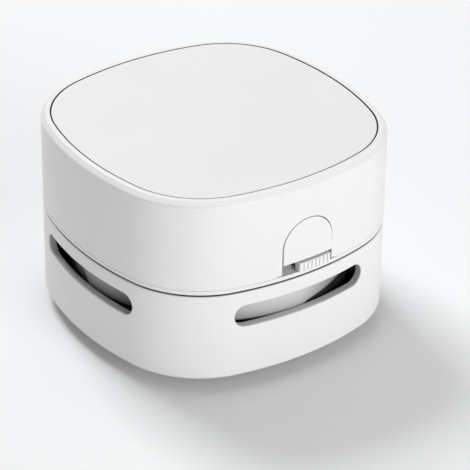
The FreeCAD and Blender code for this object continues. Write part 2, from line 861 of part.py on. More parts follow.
def bay_room(side):
    """The round hollow for the cell and the square pockets at its ends for the spring and contacts."""
    x = side * battery_x
    start = V(x, -bay_half_length, battery_z)
    room = [Part.makeCylinder(battery_radius + battery_clearance, 2 * bay_half_length, start, V(0, 1, 0))]
    for s in (-1, 1):
        y0, y1 = sorted((s * bay_half_length, s * (bay_half_length - bay_spring_space)))
        x0, x1 = x - battery_radius, x + battery_radius
        room.append(block(x0, x1, y0, y1, deck_top_z + bay_floor, battery_z + cut_over))
    return room


def pad_rails():
    """Two grooved uprights that take the side edges of the pad's back plate."""
    rails = []
    plate_edge = pad_opening_radius + pad_back_side
    inset = cover_wall + pad_back_gap
    grow = pad_rail_clearance
    groove = frame_prism(inset - grow, inset + pad_back_thickness + grow, deck_top_z, cover_top_z)
    groove = groove.common(block(
        switch_x - plate_edge - grow, switch_x + plate_edge + grow, -half_width, 0, deck_top_z, cover_top_z
    ))
    shell = frame_prism(inset - pad_back_gap / 2, half_width / 2, deck_top_z, deck_top_z + pad_rail_height)
    for side in (-1, 1):
        a = switch_x + side * (plate_edge - pad_rail_grip)
        b = a + side * pad_rail_width
        back = wall_y(b, inset + pad_rail_depth)
        upright = block(min(a, b), max(a, b), -half_width, back, deck_top_z, deck_top_z + pad_rail_height)
        rails.append(upright.common(shell).cut(groove))
    return rails


def board_y():
    return switch_case_y() + switch_case_depth + board_gap


def board_ribs():
    """Two grooved ribs that hold the switch board upright on the deck."""
    x = knob_x - knob_travel / 2
    y0 = board_y()
    y1 = y0 + board_thickness
    gap = board_rib_clearance
    ribs = []
    for side in (-1, 1):
        edge = x + side * board_width / 2
        a, b = edge - side * board_rib_width / 2, edge + side * (board_rib_width / 2 + gap)
        rib = block(
            min(a, b), max(a, b), y0 - gap - board_rib_wall, y1 + gap + board_rib_wall, deck_top_z,
            deck_top_z + board_rib_height,
        )
        end = edge + side * gap
        ribs.append(rib.cut(block(
            min(x, end), max(x, end), y0 - gap, y1 + gap, deck_top_z, deck_top_z + board_rib_height + cut_over
        )))
    return ribs


def switch_board():
    """The small circuit board that the slide switch is soldered to."""
    x = knob_x - knob_travel / 2
    half = board_width / 2
    y0 = board_y()
    board = block(x - half, x + half, y0, y0 + board_thickness, deck_top_z, deck_top_z + board_height)
    for i in (-1, 0, 1):
        hole = Part.makeCylinder(
            switch_leg_radius + face_gap, board_thickness + 2 * cut_over,
            V(x + i * switch_leg_pitch, y0 - cut_over, leg_z), V(0, 1, 0),
        )
        board = board.cut(hole)
    return board


def chassis():
    deck = prism(0, deck_z, deck_top_z)
    deck = deck.makeFillet(parting_edge_round, edges_at(deck, deck_z))
    spigot_inset = cover_wall + cover_spigot_clearance
    spigot = frame_prism(
        spigot_inset, spigot_inset + cover_spigot_wall, deck_top_z, deck_top_z + cover_spigot_height
    )
    pad_half = pad_opening_radius + pad_back_side + pad_back_gap
    spigot = spigot.cut(block(
        switch_x - pad_half, switch_x + pad_half, -half_width - cut_over, 0, deck_top_z, cover_top_z
    ))
    pot_grow = motor_pot_clearance + motor_pot_wall
    pot = motor_section(pot_grow, motor_z - motor_seat_thickness, deck_top_z)
    sleeve_grow = damper_gap + damper_thickness + damper_gap
    sleeve = motor_section(sleeve_grow + sleeve_wall, deck_z, deck_top_z + sleeve_height)
    post_half = clip_post_width / 2
    posts = []
    for side in (-1, 1):
        y = side * clip_post_y()
        posts.append(block(-post_half, post_half, y - post_half, y + post_half, deck_top_z, motor_top_z))
    boss_top_z = deck_boss_top()
    bosses = [disc(deck_boss_radius, deck_top_z, boss_top_z, x, y) for x, y in shroud_post_places()]
    uprights = [*posts, *bosses, *pad_rails(), *board_ribs()]
    body = fuse_all(deck, [spigot, pot, sleeve, *bay(-1), *bay(1), *uprights])
    body = cut_all(body, [*bay_room(-1), *bay_room(1)])
    body = body.cut(motor_section(sleeve_grow, deck_top_z, cover_top_z))
    body = body.cut(motor_section(motor_pot_clearance, motor_z, deck_top_z + cut_over))
    body = body.cut(disc(motor_boss_radius + motor_pot_clearance, motor_z - cut_over, motor_z + cut_over))
    for x, y in shroud_post_places():
        body = body.cut(disc(screw_pilot_radius, deck_z - cut_over, boss_top_z - boss_cap, x, y))
    for side in (-1, 1):
        y = side * clip_post_y()
        pilot_z = motor_top_z - clip_screw_shank
        body = body.cut(disc(screw_pilot_radius, pilot_z, motor_top_z + cut_over, 0, y))
    return body


def battery(side):
    """An AA cell; the left one has its positive end at the front, the right one at the back."""
    x = side * battery_x
    nub_end = side * (bay_half_length - contact_thickness - contact_gap)
    can_end = nub_end - side * battery_nub_length
    can = Part.makeCylinder(battery_radius, battery_can_length, V(x, can_end, battery_z), V(0, -side, 0))
    rims = [e for e in can.Edges if e.Closed]
    can = can.makeFillet(battery_edge_round, rims)
    nub = Part.makeCylinder(battery_nub_radius, battery_nub_length, V(x, can_end, battery_z), V(0, side, 0))
    return can.fuse(nub).removeSplitter()


def contact_clip(x, end):
    """A sheet contact folded over a bay's end wall: inner leaf, top and outer leaf."""
    half = contact_width / 2
    face = end * bay_half_length
    back = end * (bay_half_length + bay_end_wall)
    top = bay_end_top_z + contact_thickness
    leaves = [
        (face - end * contact_thickness, face, bay_end_top_z - contact_inner_drop, top),
        (face - end * contact_thickness, back + end * contact_thickness, bay_end_top_z, top),
        (back, back + end * contact_thickness, bay_end_top_z - contact_outer_drop, top),
    ]
    pieces = [block(x - half, x + half, min(a, b), max(a, b), z0, z1) for a, b, z0, z1 in leaves]
    return fuse_all(pieces[0], pieces[1:])


def contact_plus():
    return contact_clip(-battery_x, -1)


def contact_minus():
    return contact_clip(battery_x, -1)


def contact_bridge():
    """The rear contacts of both cells, joined by a strap behind the end walls."""
    y0 = bay_half_length + bay_end_wall
    z0 = bay_end_top_z - contact_outer_drop
    strap = block(-battery_x, battery_x, y0, y0 + contact_thickness, z0, z0 + bridge_height)
    return fuse_all(strap, [contact_clip(-battery_x, 1), contact_clip(battery_x, 1)])


def bend(start, corner, end):
    """The arc from start to end that is tangent to both sides of the corner between them, and its radius."""
    half_turn = (corner - start).getAngle(end - corner) / 2
    radius = (corner - start).Length / math.tan(half_turn)
    inward = ((start + end) * (1 / 2) - corner).normalize()
    middle = corner + inward * (radius / math.cos(half_turn) - radius)
    return Part.Arc(start, middle, end).toShape(), radius


def biarc(start, way_out, end, way_in):
    """Two tangent arcs that leave start along the unit vector way_out and reach end along way_in."""
    span = end - start
    spread = 2 * (1 - way_out.dot(way_in))
    lean = span.dot(way_out + way_in)
    reach = (math.sqrt(lean**2 + spread * span.dot(span)) - lean) / spread
    first = start + way_out * reach
    second = end - way_in * reach
    middle = (first + second) * (1 / 2)
    return [bend(start, first, middle)[0], bend(middle, second, end)[0]]


def spring_place(pitch, quarter):
    """The point and the unit direction of the spring's centre line after some quarter turns."""
    angle = quarter * math.pi / 2
    x, y = spring_radius * math.cos(angle), spring_radius * math.sin(angle)
    rise = pitch / (2 * math.pi)
    return V(x, y, rise * angle), V(-y, x, rise).normalize()


def contact_spring(side):
    """A coil spring between a cell's flat end and its contact leaf."""
    end = -side
    space = bay_spring_space - contact_gap
    start_y = end * (bay_half_length - contact_thickness - spring_end_gap - spring_wire_radius)
    travel = space - 2 * (spring_end_gap + spring_wire_radius)
    pitch = travel / spring_turns
    places = [spring_place(pitch, quarter) for quarter in range(4 * spring_turns + 1)]
    edges = []
    for (start, way_out), (stop, way_in) in zip(places, places[1:]):
        edges.extend(biarc(start, way_out, stop, way_in))
    path = Part.Wire(edges)
    start, way_out = places[0]
    profile = Part.Wire(Part.makeCircle(spring_wire_radius, start, way_out))
    coil = path.makePipeShell([profile], True, False)
    marks = [edge_middle(edge) for edge in edges]
    turn = len(edges) // spring_turns
    gaps = [a.distanceToPoint(b) for i, a in enumerate(marks) for b in marks[i + turn:]]
    print(f"contact_springs: least gap between turns {min(gaps) - 2 * spring_wire_radius:.2f}")
    coil.rotate(V(0, 0, 0), V(1, 0, 0), 90 * end)
    coil.translate(V(side * battery_x, start_y, battery_z))
    return coil


def contact_springs():
    return Part.makeCompound([contact_spring(-1), contact_spring(1)])


def arch(radius, z_low, y0, y1):
    """A D-shaped bar along Y: straight sides from z_low up to the arch centre, then a half round."""
    x0, x1 = switch_x - radius, switch_x + radius
    crown = V(switch_x, y0, pad_centre_z + radius)
    edges = [
        Part.LineSegment(V(x0, y0, z_low), V(x1, y0, z_low)).toShape(),
        Part.LineSegment(V(x1, y0, z_low), V(x1, y0, pad_centre_z)).toShape(),
        Part.Arc(V(x1, y0, pad_centre_z), crown, V(x0, y0, pad_centre_z)).toShape(),
        Part.LineSegment(V(x0, y0, pad_centre_z), V(x0, y0, z_low)).toShape(),
    ]
    return Part.Face(Part.Wire(edges)).extrude(V(0, y1 - y0, 0))


def switch_pad():
    """The arched pad in the cover's opening, leaning out at its foot, with its hidden back plate."""
    radius = pad_opening_radius - pad_gap
    arch_top_z = pad_centre_z + radius
    back_inset = cover_wall + pad_back_gap
    lean = math.degrees(math.atan2(pad_lean, arch_top_z - pad_bottom_z))
    skin = prism(0, shell_z, cover_top_z)
    skin.rotate(V(0, -half_width, arch_top_z), V(1, 0, 0), -lean)
    front = arch(radius, pad_bottom_z, -half_width - cut_over, wall_y(0, back_inset + pad_back_thickness / 2))
    front = front.common(skin)
    half = pad_opening_radius + pad_back_side
    plate = block(
        switch_x - half, switch_x + half, -half_width, -half_width / 2, deck_top_z, arch_top_z + pad_back_top
    ).common(frame_prism(back_inset, back_inset + pad_back_thickness, deck_top_z, cover_top_z))
    window_half = (stem_width + knob_travel) / 2 + stem_clearance
    window_x = knob_x - knob_travel / 2
    window = block(
        window_x - window_half, window_x + window_half, -half_width, 0, stem_z - stem_clearance,
        stem_z + stem_height + stem_clearance,
    )
    return front.fuse(plate).removeSplitter().cut(window)


def switch_knob():
    """The ribbed slider with its stem, in the notch below the pad."""
    x0, x1 = knob_x - knob_width / 2, knob_x + knob_width / 2
    back_y = wall_y(0, knob_depth - knob_proud)
    grip = block(x0, x1, -half_width - cut_over, back_y, knob_z, knob_z + knob_height)
    grip = grip.common(prism(-knob_proud, shell_z, cover_top_z))
    rim = [e for e in grip.Edges if abs(depth_below_wall(edge_middle(e)) + knob_proud) < near]
    grip = grip.makeFillet(knob_edge_round, rim)
    for i in range(knob_groove_count):
        x = knob_x + (i - (knob_groove_count - 1) / 2) * knob_rib_pitch
        y = wall_y(x, knob_groove_depth - knob_proud)
        half = knob_groove_width / 2
        grip = grip.cut(block(x - half, x + half, -half_width - cut_over, y, knob_z - cut_over, cover_top_z))
    half = stem_width / 2
    root_y = back_y - knob_proud / 2
    stem_y = back_y + stem_reach
    stem = block(knob_x - half, knob_x + half, root_y, stem_y, stem_z, stem_z + stem_height)
    return grip.fuse(stem).removeSplitter()


def switch_case_y():
    return wall_y(pad_opening_radius, cover_wall + pad_back_gap + pad_back_thickness) + face_gap


def switch_case():
    """The steel-cased slide switch behind the pad, with a slit for the knob's stem and three legs."""
    y0 = switch_case_y()
    x = knob_x - knob_travel / 2
    z0 = switch_case_z
    x0, x1 = x - switch_case_width / 2, x + switch_case_width / 2
    case = block(x0, x1, y0, y0 + switch_case_depth, z0, z0 + switch_case_height)
    slit_half = (stem_width + knob_travel) / 2 + stem_clearance
    slit_depth = switch_case_depth - switch_case_wall
    slit = block(
        x - slit_half, x + slit_half, y0 - cut_over, y0 + slit_depth, stem_z - stem_clearance,
        stem_z + stem_height + stem_clearance,
    )
    case = case.cut(slit)
    legs = [
        Part.makeCylinder(
            switch_leg_radius, switch_leg_length + switch_case_wall / 2,
            V(x + i * switch_leg_pitch, y0 + switch_case_depth - switch_case_wall / 2, leg_z),
            V(0, 1, 0),
        )
        for i in (-1, 0, 1)
    ]
    return fuse_all(case, legs)


def lead(name, points):
    """A round lead along straight runs joined by tangent arcs, each arc as large as its runs allow."""
    edges = []
    last = points[0]
    radii = []
    for before, corner, after in zip(points, points[1:], points[2:]):
        way_in = corner - before
        way_out = after - corner
        reach = min(way_in.Length, way_out.Length) * lead_arc_share
        start = corner - way_in.normalize() * reach
        end = corner + way_out.normalize() * reach
        arc, radius = bend(start, corner, end)
        edges.extend([Part.LineSegment(last, start).toShape(), arc])
        last = end
        radii.append(radius)
    edges.append(Part.LineSegment(last, points[-1]).toShape())
    path = Part.Wire(edges)
    profile = Part.Wire(Part.makeCircle(lead_radius, points[0], points[1] - points[0]))
    tube_solid = path.makePipeShell([profile], True, True)
    share = tube_solid.Volume / (math.pi * lead_radius**2 * path.Length)
    print(f"{name}: length {path.Length:.1f}, least radius {min(radii):.2f}, volume share {share:.4f}")
    return tube_solid


def along(start, end, shares):
    """Points between two ends, each placed by its shares of the way along X, Y and Z."""
    way = end.sub(start)
    return [V(start.x + way.x * a, start.y + way.y * b, start.z + way.z * c) for a, b, c in shares]


def contact_face(side):
    y = -bay_half_length - bay_end_wall - contact_thickness - lead_end_gap
    return V(side * battery_x, y, bay_end_top_z - lead_drop)


def leg_tip(i):
    y = switch_case_y() + switch_case_depth + switch_leg_length
    return V(knob_x - knob_travel / 2 + i * switch_leg_pitch, y, leg_z)


def terminal_face(side):
    y = terminal_y() - motor_terminal_thickness - lead_end_gap
    z = motor_can_top_z + motor_cap_length / 2
    return V(side * motor_terminal_offset, y, z)


def lead_positive():
    """From the front left contact to the side of the switch's left leg."""
    start = contact_face(-1)
    end = leg_tip(-1).sub(V(switch_leg_radius + lead_end_gap, lead_radius, 0))
    return lead("lead_positive", [start, *along(start, end, lead_positive_shares), end])


def lead_switch():
    """From the switch's middle leg to the motor's left tab."""
    start = leg_tip(0).add(V(0, lead_end_gap, 0))
    end = terminal_face(-1)
    return lead("lead_switch", [start, *along(start, end, lead_switch_shares), end])


def lead_negative():
    """From the front right contact to the motor's right tab."""
    start = contact_face(1)
    end = terminal_face(1)
    return lead("lead_negative", [start, *along(start, end, lead_negative_shares), end])


def upper_cover():
    rim_z = cover_top_z - rim_bevel_drop
    wall = prism(0, cover_z, rim_z)
    bevel = Part.makeLoft([outline(0, rim_z), outline(rim_bevel_width, cover_top_z)], True, True)
    body = wall.fuse(bevel).removeSplitter()
    body = body.makeFillet(rim_edge_round, edges_at(body, rim_z))
    body = body.makeFillet(rim_crest_round, edges_at(body, cover_top_z))
    body = body.cut(prism(cover_wall, cover_z - cut_over, cover_inner_z))
    body = body.cut(prism(panel_recess_inset, recess_floor_z, cover_top_z + cut_over))
    opening_y = -half_width - cut_over
    body = body.cut(arch(pad_opening_radius, cover_z - cut_over, opening_y, -half_width / 2))
    half = pad_opening_radius + relief_width
    x0, x1 = switch_x - half, switch_x + half
    relief = block(x0, x1, opening_y, -half_width / 2, cover_z - cut_over, cover_z + relief_height)
    return body.cut(relief)


def top_panel():
    panel = prism(panel_recess_inset + panel_gap, recess_floor_z, cover_top_z)
    return panel.makeFillet(panel_edge_round, edges_at(panel, cover_top_z))


PIECES = {
    "lower_shell": lower_shell,
    "base_plate": base_plate,
    "base_screws": base_screws,
    "brush_carrier": brush_carrier,
    "brush_bristles": brush_bristles,
    "dust_cup": dust_cup,
    "exhaust_foam": exhaust_foam,
    "chassis": chassis,
    "fan_shroud": fan_shroud,
    "shroud_screws": shroud_screws,
    "cup_seal": cup_seal,
    "filter_frame": filter_frame,
    "filter_pad": filter_pad,
    "motor_can": motor_can,
    "motor_end_cap": motor_end_cap,
    "motor_terminals": motor_terminals,
    "motor_magnets": motor_magnets,
    "motor_armature": motor_armature,
    "armature_windings": armature_windings,
    "commutator": commutator,
    "motor_damper": motor_damper,
    "motor_clip": motor_clip,
    "clip_screws": clip_screws,
    "motor_shaft": motor_shaft,
    "impeller": impeller,
    "battery_left": lambda: battery(-1),
    "battery_right": lambda: battery(1),
    "contact_plus": contact_plus,
    "contact_minus": contact_minus,
    "contact_bridge": contact_bridge,
    "contact_springs": contact_springs,
    "switch_pad": switch_pad,
    "switch_knob": switch_knob,
    "switch_case": switch_case,
    "switch_board": switch_board,
    "lead_positive": lead_positive,
    "lead_switch": lead_switch,
    "lead_negative": lead_negative,
    "upper_cover": upper_cover,
    "top_panel": top_panel,
}

for name, make in PIECES.items():
    shape = make()
    solids = len(shape.Solids)
    print(f"{name}: {solids} solids, {shape.Volume:.1f} mm3, valid {shape.isValid()}")
    if not solids or not shape.isValid():
        raise ValueError(f"{name} isn't a sound solid")
    shape.exportStep(f"parts/{name}.step")
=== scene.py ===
"""Desktop mini vacuum cleaner: finishes, soft pieces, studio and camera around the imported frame.

Lengths are in metres where nothing else is said. The switch faces -Y and z = 0 is the plane of the
bristle tips.
"""

import math
import random

import bpy
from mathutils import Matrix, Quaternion, Vector


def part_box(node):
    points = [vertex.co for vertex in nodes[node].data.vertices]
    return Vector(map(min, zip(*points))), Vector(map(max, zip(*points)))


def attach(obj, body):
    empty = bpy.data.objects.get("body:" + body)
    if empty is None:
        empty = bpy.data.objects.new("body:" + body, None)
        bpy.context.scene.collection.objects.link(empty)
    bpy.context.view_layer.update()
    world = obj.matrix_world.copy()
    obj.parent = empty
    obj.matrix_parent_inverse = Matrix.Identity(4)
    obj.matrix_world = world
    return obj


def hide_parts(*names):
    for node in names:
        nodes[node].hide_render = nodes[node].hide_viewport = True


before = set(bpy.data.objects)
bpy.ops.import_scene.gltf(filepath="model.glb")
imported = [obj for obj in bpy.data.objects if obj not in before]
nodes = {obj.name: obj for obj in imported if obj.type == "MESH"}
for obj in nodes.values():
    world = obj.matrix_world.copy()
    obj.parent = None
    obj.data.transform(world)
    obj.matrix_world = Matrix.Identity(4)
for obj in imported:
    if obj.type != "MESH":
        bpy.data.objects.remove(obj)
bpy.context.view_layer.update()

MM = 0.001

# The body's outline: four shallow side arcs joined by four corner arcs
SIDE_CENTRE = 41.7 * MM
SIDE_RADIUS = 84.7 * MM
CORNER_CENTRE = 14.385 * MM
CORNER_RADIUS = 26.8 * MM

# Whites of the shells, and the colours of the painted shade and painted highlight on them
WHITE = (0.838, 0.833, 0.828)
PANEL_WHITE = (0.838, 0.836, 0.835)
KNOB_WHITE = (0.86, 0.862, 0.865)
EDGE_PAINTED_HIGHLIGHT = (0.88, 0.88, 0.88)
KNOB_PAINTED_SHADE = (0.74, 0.74, 0.745)
PALE_PAINTED_SHADE = (0.62, 0.622, 0.625)
RECESS_PAINTED_SHADE = (0.3, 0.3, 0.303)
RIM_PAINTED_SHADE = (0.15, 0.15, 0.152)
DEEP_PAINTED_SHADE = (0.10, 0.10, 0.103)
SEAM_PAINTED_SHADE = (0.03, 0.03, 0.031)

# Tones of each shell, which are painted shade and one painted highlight: the depths in the wall where
# a tone starts and is full, the heights between which it lies, all in millimetres, and its colour
LOWER_SHELL_TONES = [
    ((0.3, 0.9, 8.0, 29.2), PALE_PAINTED_SHADE),  # painted shade on the lips of the air slots
    ((0.22, 0.45, 29.2, 40.0), RIM_PAINTED_SHADE),  # painted shade on the rim at the parting line
    ((2.2, 2.45, 7.0, 40.0), DEEP_PAINTED_SHADE),  # painted shade on all inside the wall
]
COVER_TONES = [
    ((0.3, 0.7, 32.2, 56.5), PALE_PAINTED_SHADE),  # painted shade on the edge of the arched opening, and all inside the wall
    ((-0.1, 0.4, 56.85, 58.2), EDGE_PAINTED_HIGHLIGHT),  # painted highlight on the rounded top edge
    ((2.4, 2.47, 56.0, 57.9), SEAM_PAINTED_SHADE),  # painted shade on the side of the panel's recess
]
DECK_TONES = [((0.3, 0.6, 20.0, 31.6), DEEP_PAINTED_SHADE)]  # painted shade below its top, in the parting gap
PANEL_TONES = [((0.0, 0.1, 50.0, 57.85), SEAM_PAINTED_SHADE)]  # painted shade on the panel's edge and underside
PAD_TONES = [
    ((0.35, 0.6, 31.0, 60.0), DEEP_PAINTED_SHADE),  # painted shade on the pad's edge
    ((2.15, 2.3, 31.0, 60.0), RECESS_PAINTED_SHADE),  # painted shade on the plate behind the knob
]
KNOB_TONES = [((-0.75, -0.45, 31.0, 34.4), KNOB_PAINTED_SHADE)]  # painted shade in the grooves between the ribs and on the knob's flanks

# The dust cup's grey, and the painted shade on it
CUP_GREY = (0.66, 0.663, 0.667)
CUP_PAINTED_SHADE = (0.24, 0.24, 0.242)
CUP_FOOT_PAINTED_SHADE = (0.2, 0.2, 0.202)
CREVICE_PAINTED_SHADE = (0.015, 0.015, 0.016)

# The shade on the cup: the height of its edge, its rises and its fades in millimetres, its reaches in
# square millimetres of far_quarter() and its slopes in millimetres for each of them
CREVICE_HEIGHT = 18.6
CREVICE_FADE = 0.3
FOOT_FADE = 8.0
FRONT_SLOPE = 0.0045
STEP_REACH = (50.0, 130.0)
STEP_RISE = 0.5
END_REACH = 755.0
END_POWER = 24.0
END_RISE = 4.2
FLANK_SLOPE = 0.0275
FLANK_RISE = 0.4
CORNER_REACH = 620.0

# Settings that several finishes share
PLASTIC_IOR = 1.49
GRAIN_DEPTH = 0.01 * MM

# The ring of tufts under the body
TUFT_CIRCLE = 25.0 * MM
TUFT_COUNT = 40
TUFT_KINDS = 5
TUFT_ROOT_RADIUS = 1.0 * MM
TUFT_TIP_RADIUS = 1.5 * MM
TUFT_ROOT_FILL = 0.95
TUFT_SPLAY_POWER = 1.6
BRISTLES_PER_TUFT = 26
BRISTLE_LENGTH = 3.4 * MM
BRISTLE_ROOT_RADIUS = 0.11 * MM
BRISTLE_TIP_RADIUS = 0.07 * MM
BRISTLE_LEAN = 0.12  # millimetres
BRISTLE_SHORTER = 0.28  # millimetres
GOLDEN_ANGLE = 2.39996  # radians from one bristle of a tuft to the next

# The felt filter, in shares of its thickness and radius
FELT_RINGS = 13
FELT_THICKNESS = 0.86
FELT_RIM_START = 0.86
FELT_RIM_PRESS = 0.35
FELT_WAVE = 0.06
FELT_WAVE_TURN = (1.3, 1.1)  # radians per millimetre along X and Y

# The foam blocks
FOAM_VOXEL = 0.45 * MM
FOAM_PORE = 1.1 * MM
FOAM_PORE_DEPTH = 0.5 * MM

# The camera, from the fit of the body's seams to the photograph
VIEW_AZIMUTH = -35.03
VIEW_ELEVATION = 30.03
VIEW_ROLL = 0.826
VIEW_DISTANCE = 0.7031
VIEW_TARGET = Vector((0, 0, 0.034))
AIM_RIGHT = 0.006205
AIM_UP = -0.011281
LENS = 196.1
SENSOR = 36.0

# The studio: softboxes with their place, size and power, aimed at the body
SOFTBOXES = [
    ("top", (0.1, 0.3, 1.4), 1.2, 5.1),
    ("front_left", (-0.255, -1.445, 0.342), 0.5, 4.8),
    ("front_right", (0.255, -1.445, 0.342), 0.5, 7.2),
    ("front_high", (0.184, -1.045, 1.091), 0.5, 1.3),
    ("right", (1.299, 0.0, 0.780), 0.5, 0.6),
    ("back", (0.0, 0.964, 1.179), 0.5, 13.2),
]
LIGHT_TARGET = Vector((0, 0, 0.03))
WORLD_LIGHT = 0.22
FLOOR_SIZE = 6.0

random.seed(20)


def clear_selection():
    if bpy.context.object and bpy.context.object.mode != "OBJECT":
        bpy.ops.object.mode_set(mode="OBJECT")
    bpy.ops.object.select_all(action="DESELECT")


def pick(piece):
    clear_selection()
    piece.select_set(True)
    bpy.context.view_layer.objects.active = piece


def apply_place(piece):
    """Puts a finished piece's place into its mesh."""
    pick(piece)
    bpy.ops.object.transform_apply(location=True, rotation=True, scale=True)


def modify(piece, kind, **settings):
    """Adds a modifier, sets it and applies it."""
    pick(piece)
    modifier = piece.modifiers.new(kind.lower(), kind)
    for key, value in settings.items():
        setattr(modifier, key, value)
    bpy.ops.object.modifier_apply(modifier=modifier.name)


def copy_of(piece, name):
    twin = piece.copy()
    twin.data = piece.data.copy()
    twin.name = name
    bpy.context.scene.collection.objects.link(twin)
    return twin


def join(pieces, name):
    clear_selection()
    for piece in pieces:
        piece.select_set(True)
    bpy.context.view_layer.objects.active = pieces[0]
    bpy.ops.object.join()
    pieces[0].name = name
    return pieces[0]


def hand_in(piece, body, material, replaced):
    """Gives a finished piece its finish and its place in the assembly."""
    piece.data.materials.clear()
    piece.data.materials.append(material)
    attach(piece, body)
    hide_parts(replaced)


# Shader node helpers


def new_group(name, inputs, outputs):
    """An empty shader group with named sockets, and its input and output nodes."""
    group = bpy.data.node_groups.new(name, "ShaderNodeTree")
    for socket, kind, value in inputs:
        made = group.interface.new_socket(
            name=socket, in_out="INPUT", socket_type="NodeSocket" + kind
        )
        made.default_value = value
    for socket, kind in outputs:
        group.interface.new_socket(name=socket, in_out="OUTPUT", socket_type="NodeSocket" + kind)
    entry = group.nodes.new("NodeGroupInput")
    leave = group.nodes.new("NodeGroupOutput")
    return group, entry, leave


def feed(tree, socket, value):
    """Links a socket to another, or sets it to a number or colour."""
    if isinstance(value, bpy.types.NodeSocket):
        tree.links.new(value, socket)
    elif isinstance(value, (tuple, list)) and len(value) == 3 and len(socket.default_value) == 4:
        socket.default_value = (*value, 1.0)
    else:
        socket.default_value = value


def feed_all(tree, sockets, **values):
    """Feeds sockets by name, with underscores for spaces."""
    for key, value in values.items():
        feed(tree, sockets[key.replace("_", " ")], value)


def node(tree, kind, links=None, **values):
    """Adds a node: values set its properties or sockets by name, links connect its inputs."""
    made = tree.nodes.new("ShaderNode" + kind)
    for key, value in values.items():
        if hasattr(made, key):
            setattr(made, key, value)
        else:
            made.inputs[key.replace("_", " ")].default_value = value
    for socket, source in (links or {}).items():
        feed(tree, made.inputs[socket], source)
    return made


def place_in(tree):
    return node(tree, "TexCoord").outputs["Object"]


def parts_of(tree, vector):
    return node(tree, "SeparateXYZ", {"Vector": vector}).outputs


def calc(tree, operation, first, second=0.5, clamp=False):
    made = tree.nodes.new("ShaderNodeMath")
    made.operation = operation
    made.use_clamp = clamp
    feed(tree, made.inputs[0], first)
    feed(tree, made.inputs[1], second)
    return made.outputs[0]


def vector_calc(tree, operation, first, second=(0, 0, 0)):
    made = tree.nodes.new("ShaderNodeVectorMath")
    made.operation = operation
    feed(tree, made.inputs[0], first)
    feed(tree, made.inputs[1], second)
    return made.outputs[0]


def ramp(tree, factor, low, high, low_value=0.0, high_value=1.0):
    """Factor remapped smoothly from low..high to low_value..high_value."""
    made = tree.nodes.new("ShaderNodeMapRange")
    made.interpolation_type = "SMOOTHSTEP"
    tree.links.new(factor, made.inputs["Value"])
    feed_all(tree, made.inputs, From_Min=low, From_Max=high, To_Min=low_value, To_Max=high_value)
    return made.outputs["Result"]


def mix_colour(tree, factor, first, second, blend="MIX"):
    made = tree.nodes.new("ShaderNodeMix")
    made.data_type = "RGBA"
    made.blend_type = blend
    for index, value in ((0, factor), (6, first), (7, second)):
        feed(tree, made.inputs[index], value)
    return made.outputs[2]


def use_group(tree, group, **values):
    """Places a node group and feeds its inputs."""
    made = tree.nodes.new("ShaderNodeGroup")
    made.node_tree = group
    feed_all(tree, made.inputs, **values)
    return made.outputs


# Shared effects


def soft_box_group():
    """A mask that is 1 inside a box and fades to 0 at its faces."""
    group, entry, leave = new_group(
        "soft_box",
        [
            ("Centre", "Vector", (0, 0, 0)),
            ("Half size", "Vector", (MM, MM, MM)),
            ("Softness", "Float", 0.1 * MM),
        ],
        [("Mask", "Float")],
    )
    off = vector_calc(group, "SUBTRACT", place_in(group), entry.outputs["Centre"])
    off = vector_calc(group, "ABSOLUTE", off)
    x, y, z = parts_of(group, vector_calc(group, "SUBTRACT", entry.outputs["Half size"], off))
    least = calc(group, "MINIMUM", calc(group, "MINIMUM", x, y), z)
    feed_all(group, leave.inputs, Mask=ramp(group, least, 0.0, entry.outputs["Softness"]))
    return group


def wall_depth_group():
    """How far a point lies inside the body's outer wall, and its height, in millimetres."""
    group, _, leave = new_group("wall_depth", [], [("Depth", "Float"), ("Height", "Float")])
    x, y, z = parts_of(group, place_in(group))
    x, y = calc(group, "ABSOLUTE", x), calc(group, "ABSOLUTE", y)
    far, near = calc(group, "MAXIMUM", x, y), calc(group, "MINIMUM", x, y)

    def length(a, b):
        squares = [calc(group, "MULTIPLY", part, part) for part in (a, b)]
        return calc(group, "SQRT", calc(group, "ADD", *squares))

    reach = calc(group, "ADD", far, SIDE_CENTRE)
    side = calc(group, "SUBTRACT", SIDE_RADIUS, length(reach, near))
    from_corner = [calc(group, "SUBTRACT", part, CORNER_CENTRE) for part in (far, near)]
    corner = calc(group, "SUBTRACT", CORNER_RADIUS, length(*from_corner))
    slope = CORNER_CENTRE / (SIDE_CENTRE + CORNER_CENTRE)
    at_corner = calc(group, "GREATER_THAN", calc(group, "DIVIDE", near, reach), slope)
    swing = calc(group, "MULTIPLY", calc(group, "SUBTRACT", corner, side), at_corner)
    depth = calc(group, "DIVIDE", calc(group, "ADD", side, swing), MM)
    feed_all(group, leave.inputs, Depth=depth, Height=calc(group, "DIVIDE", z, MM))
    return group


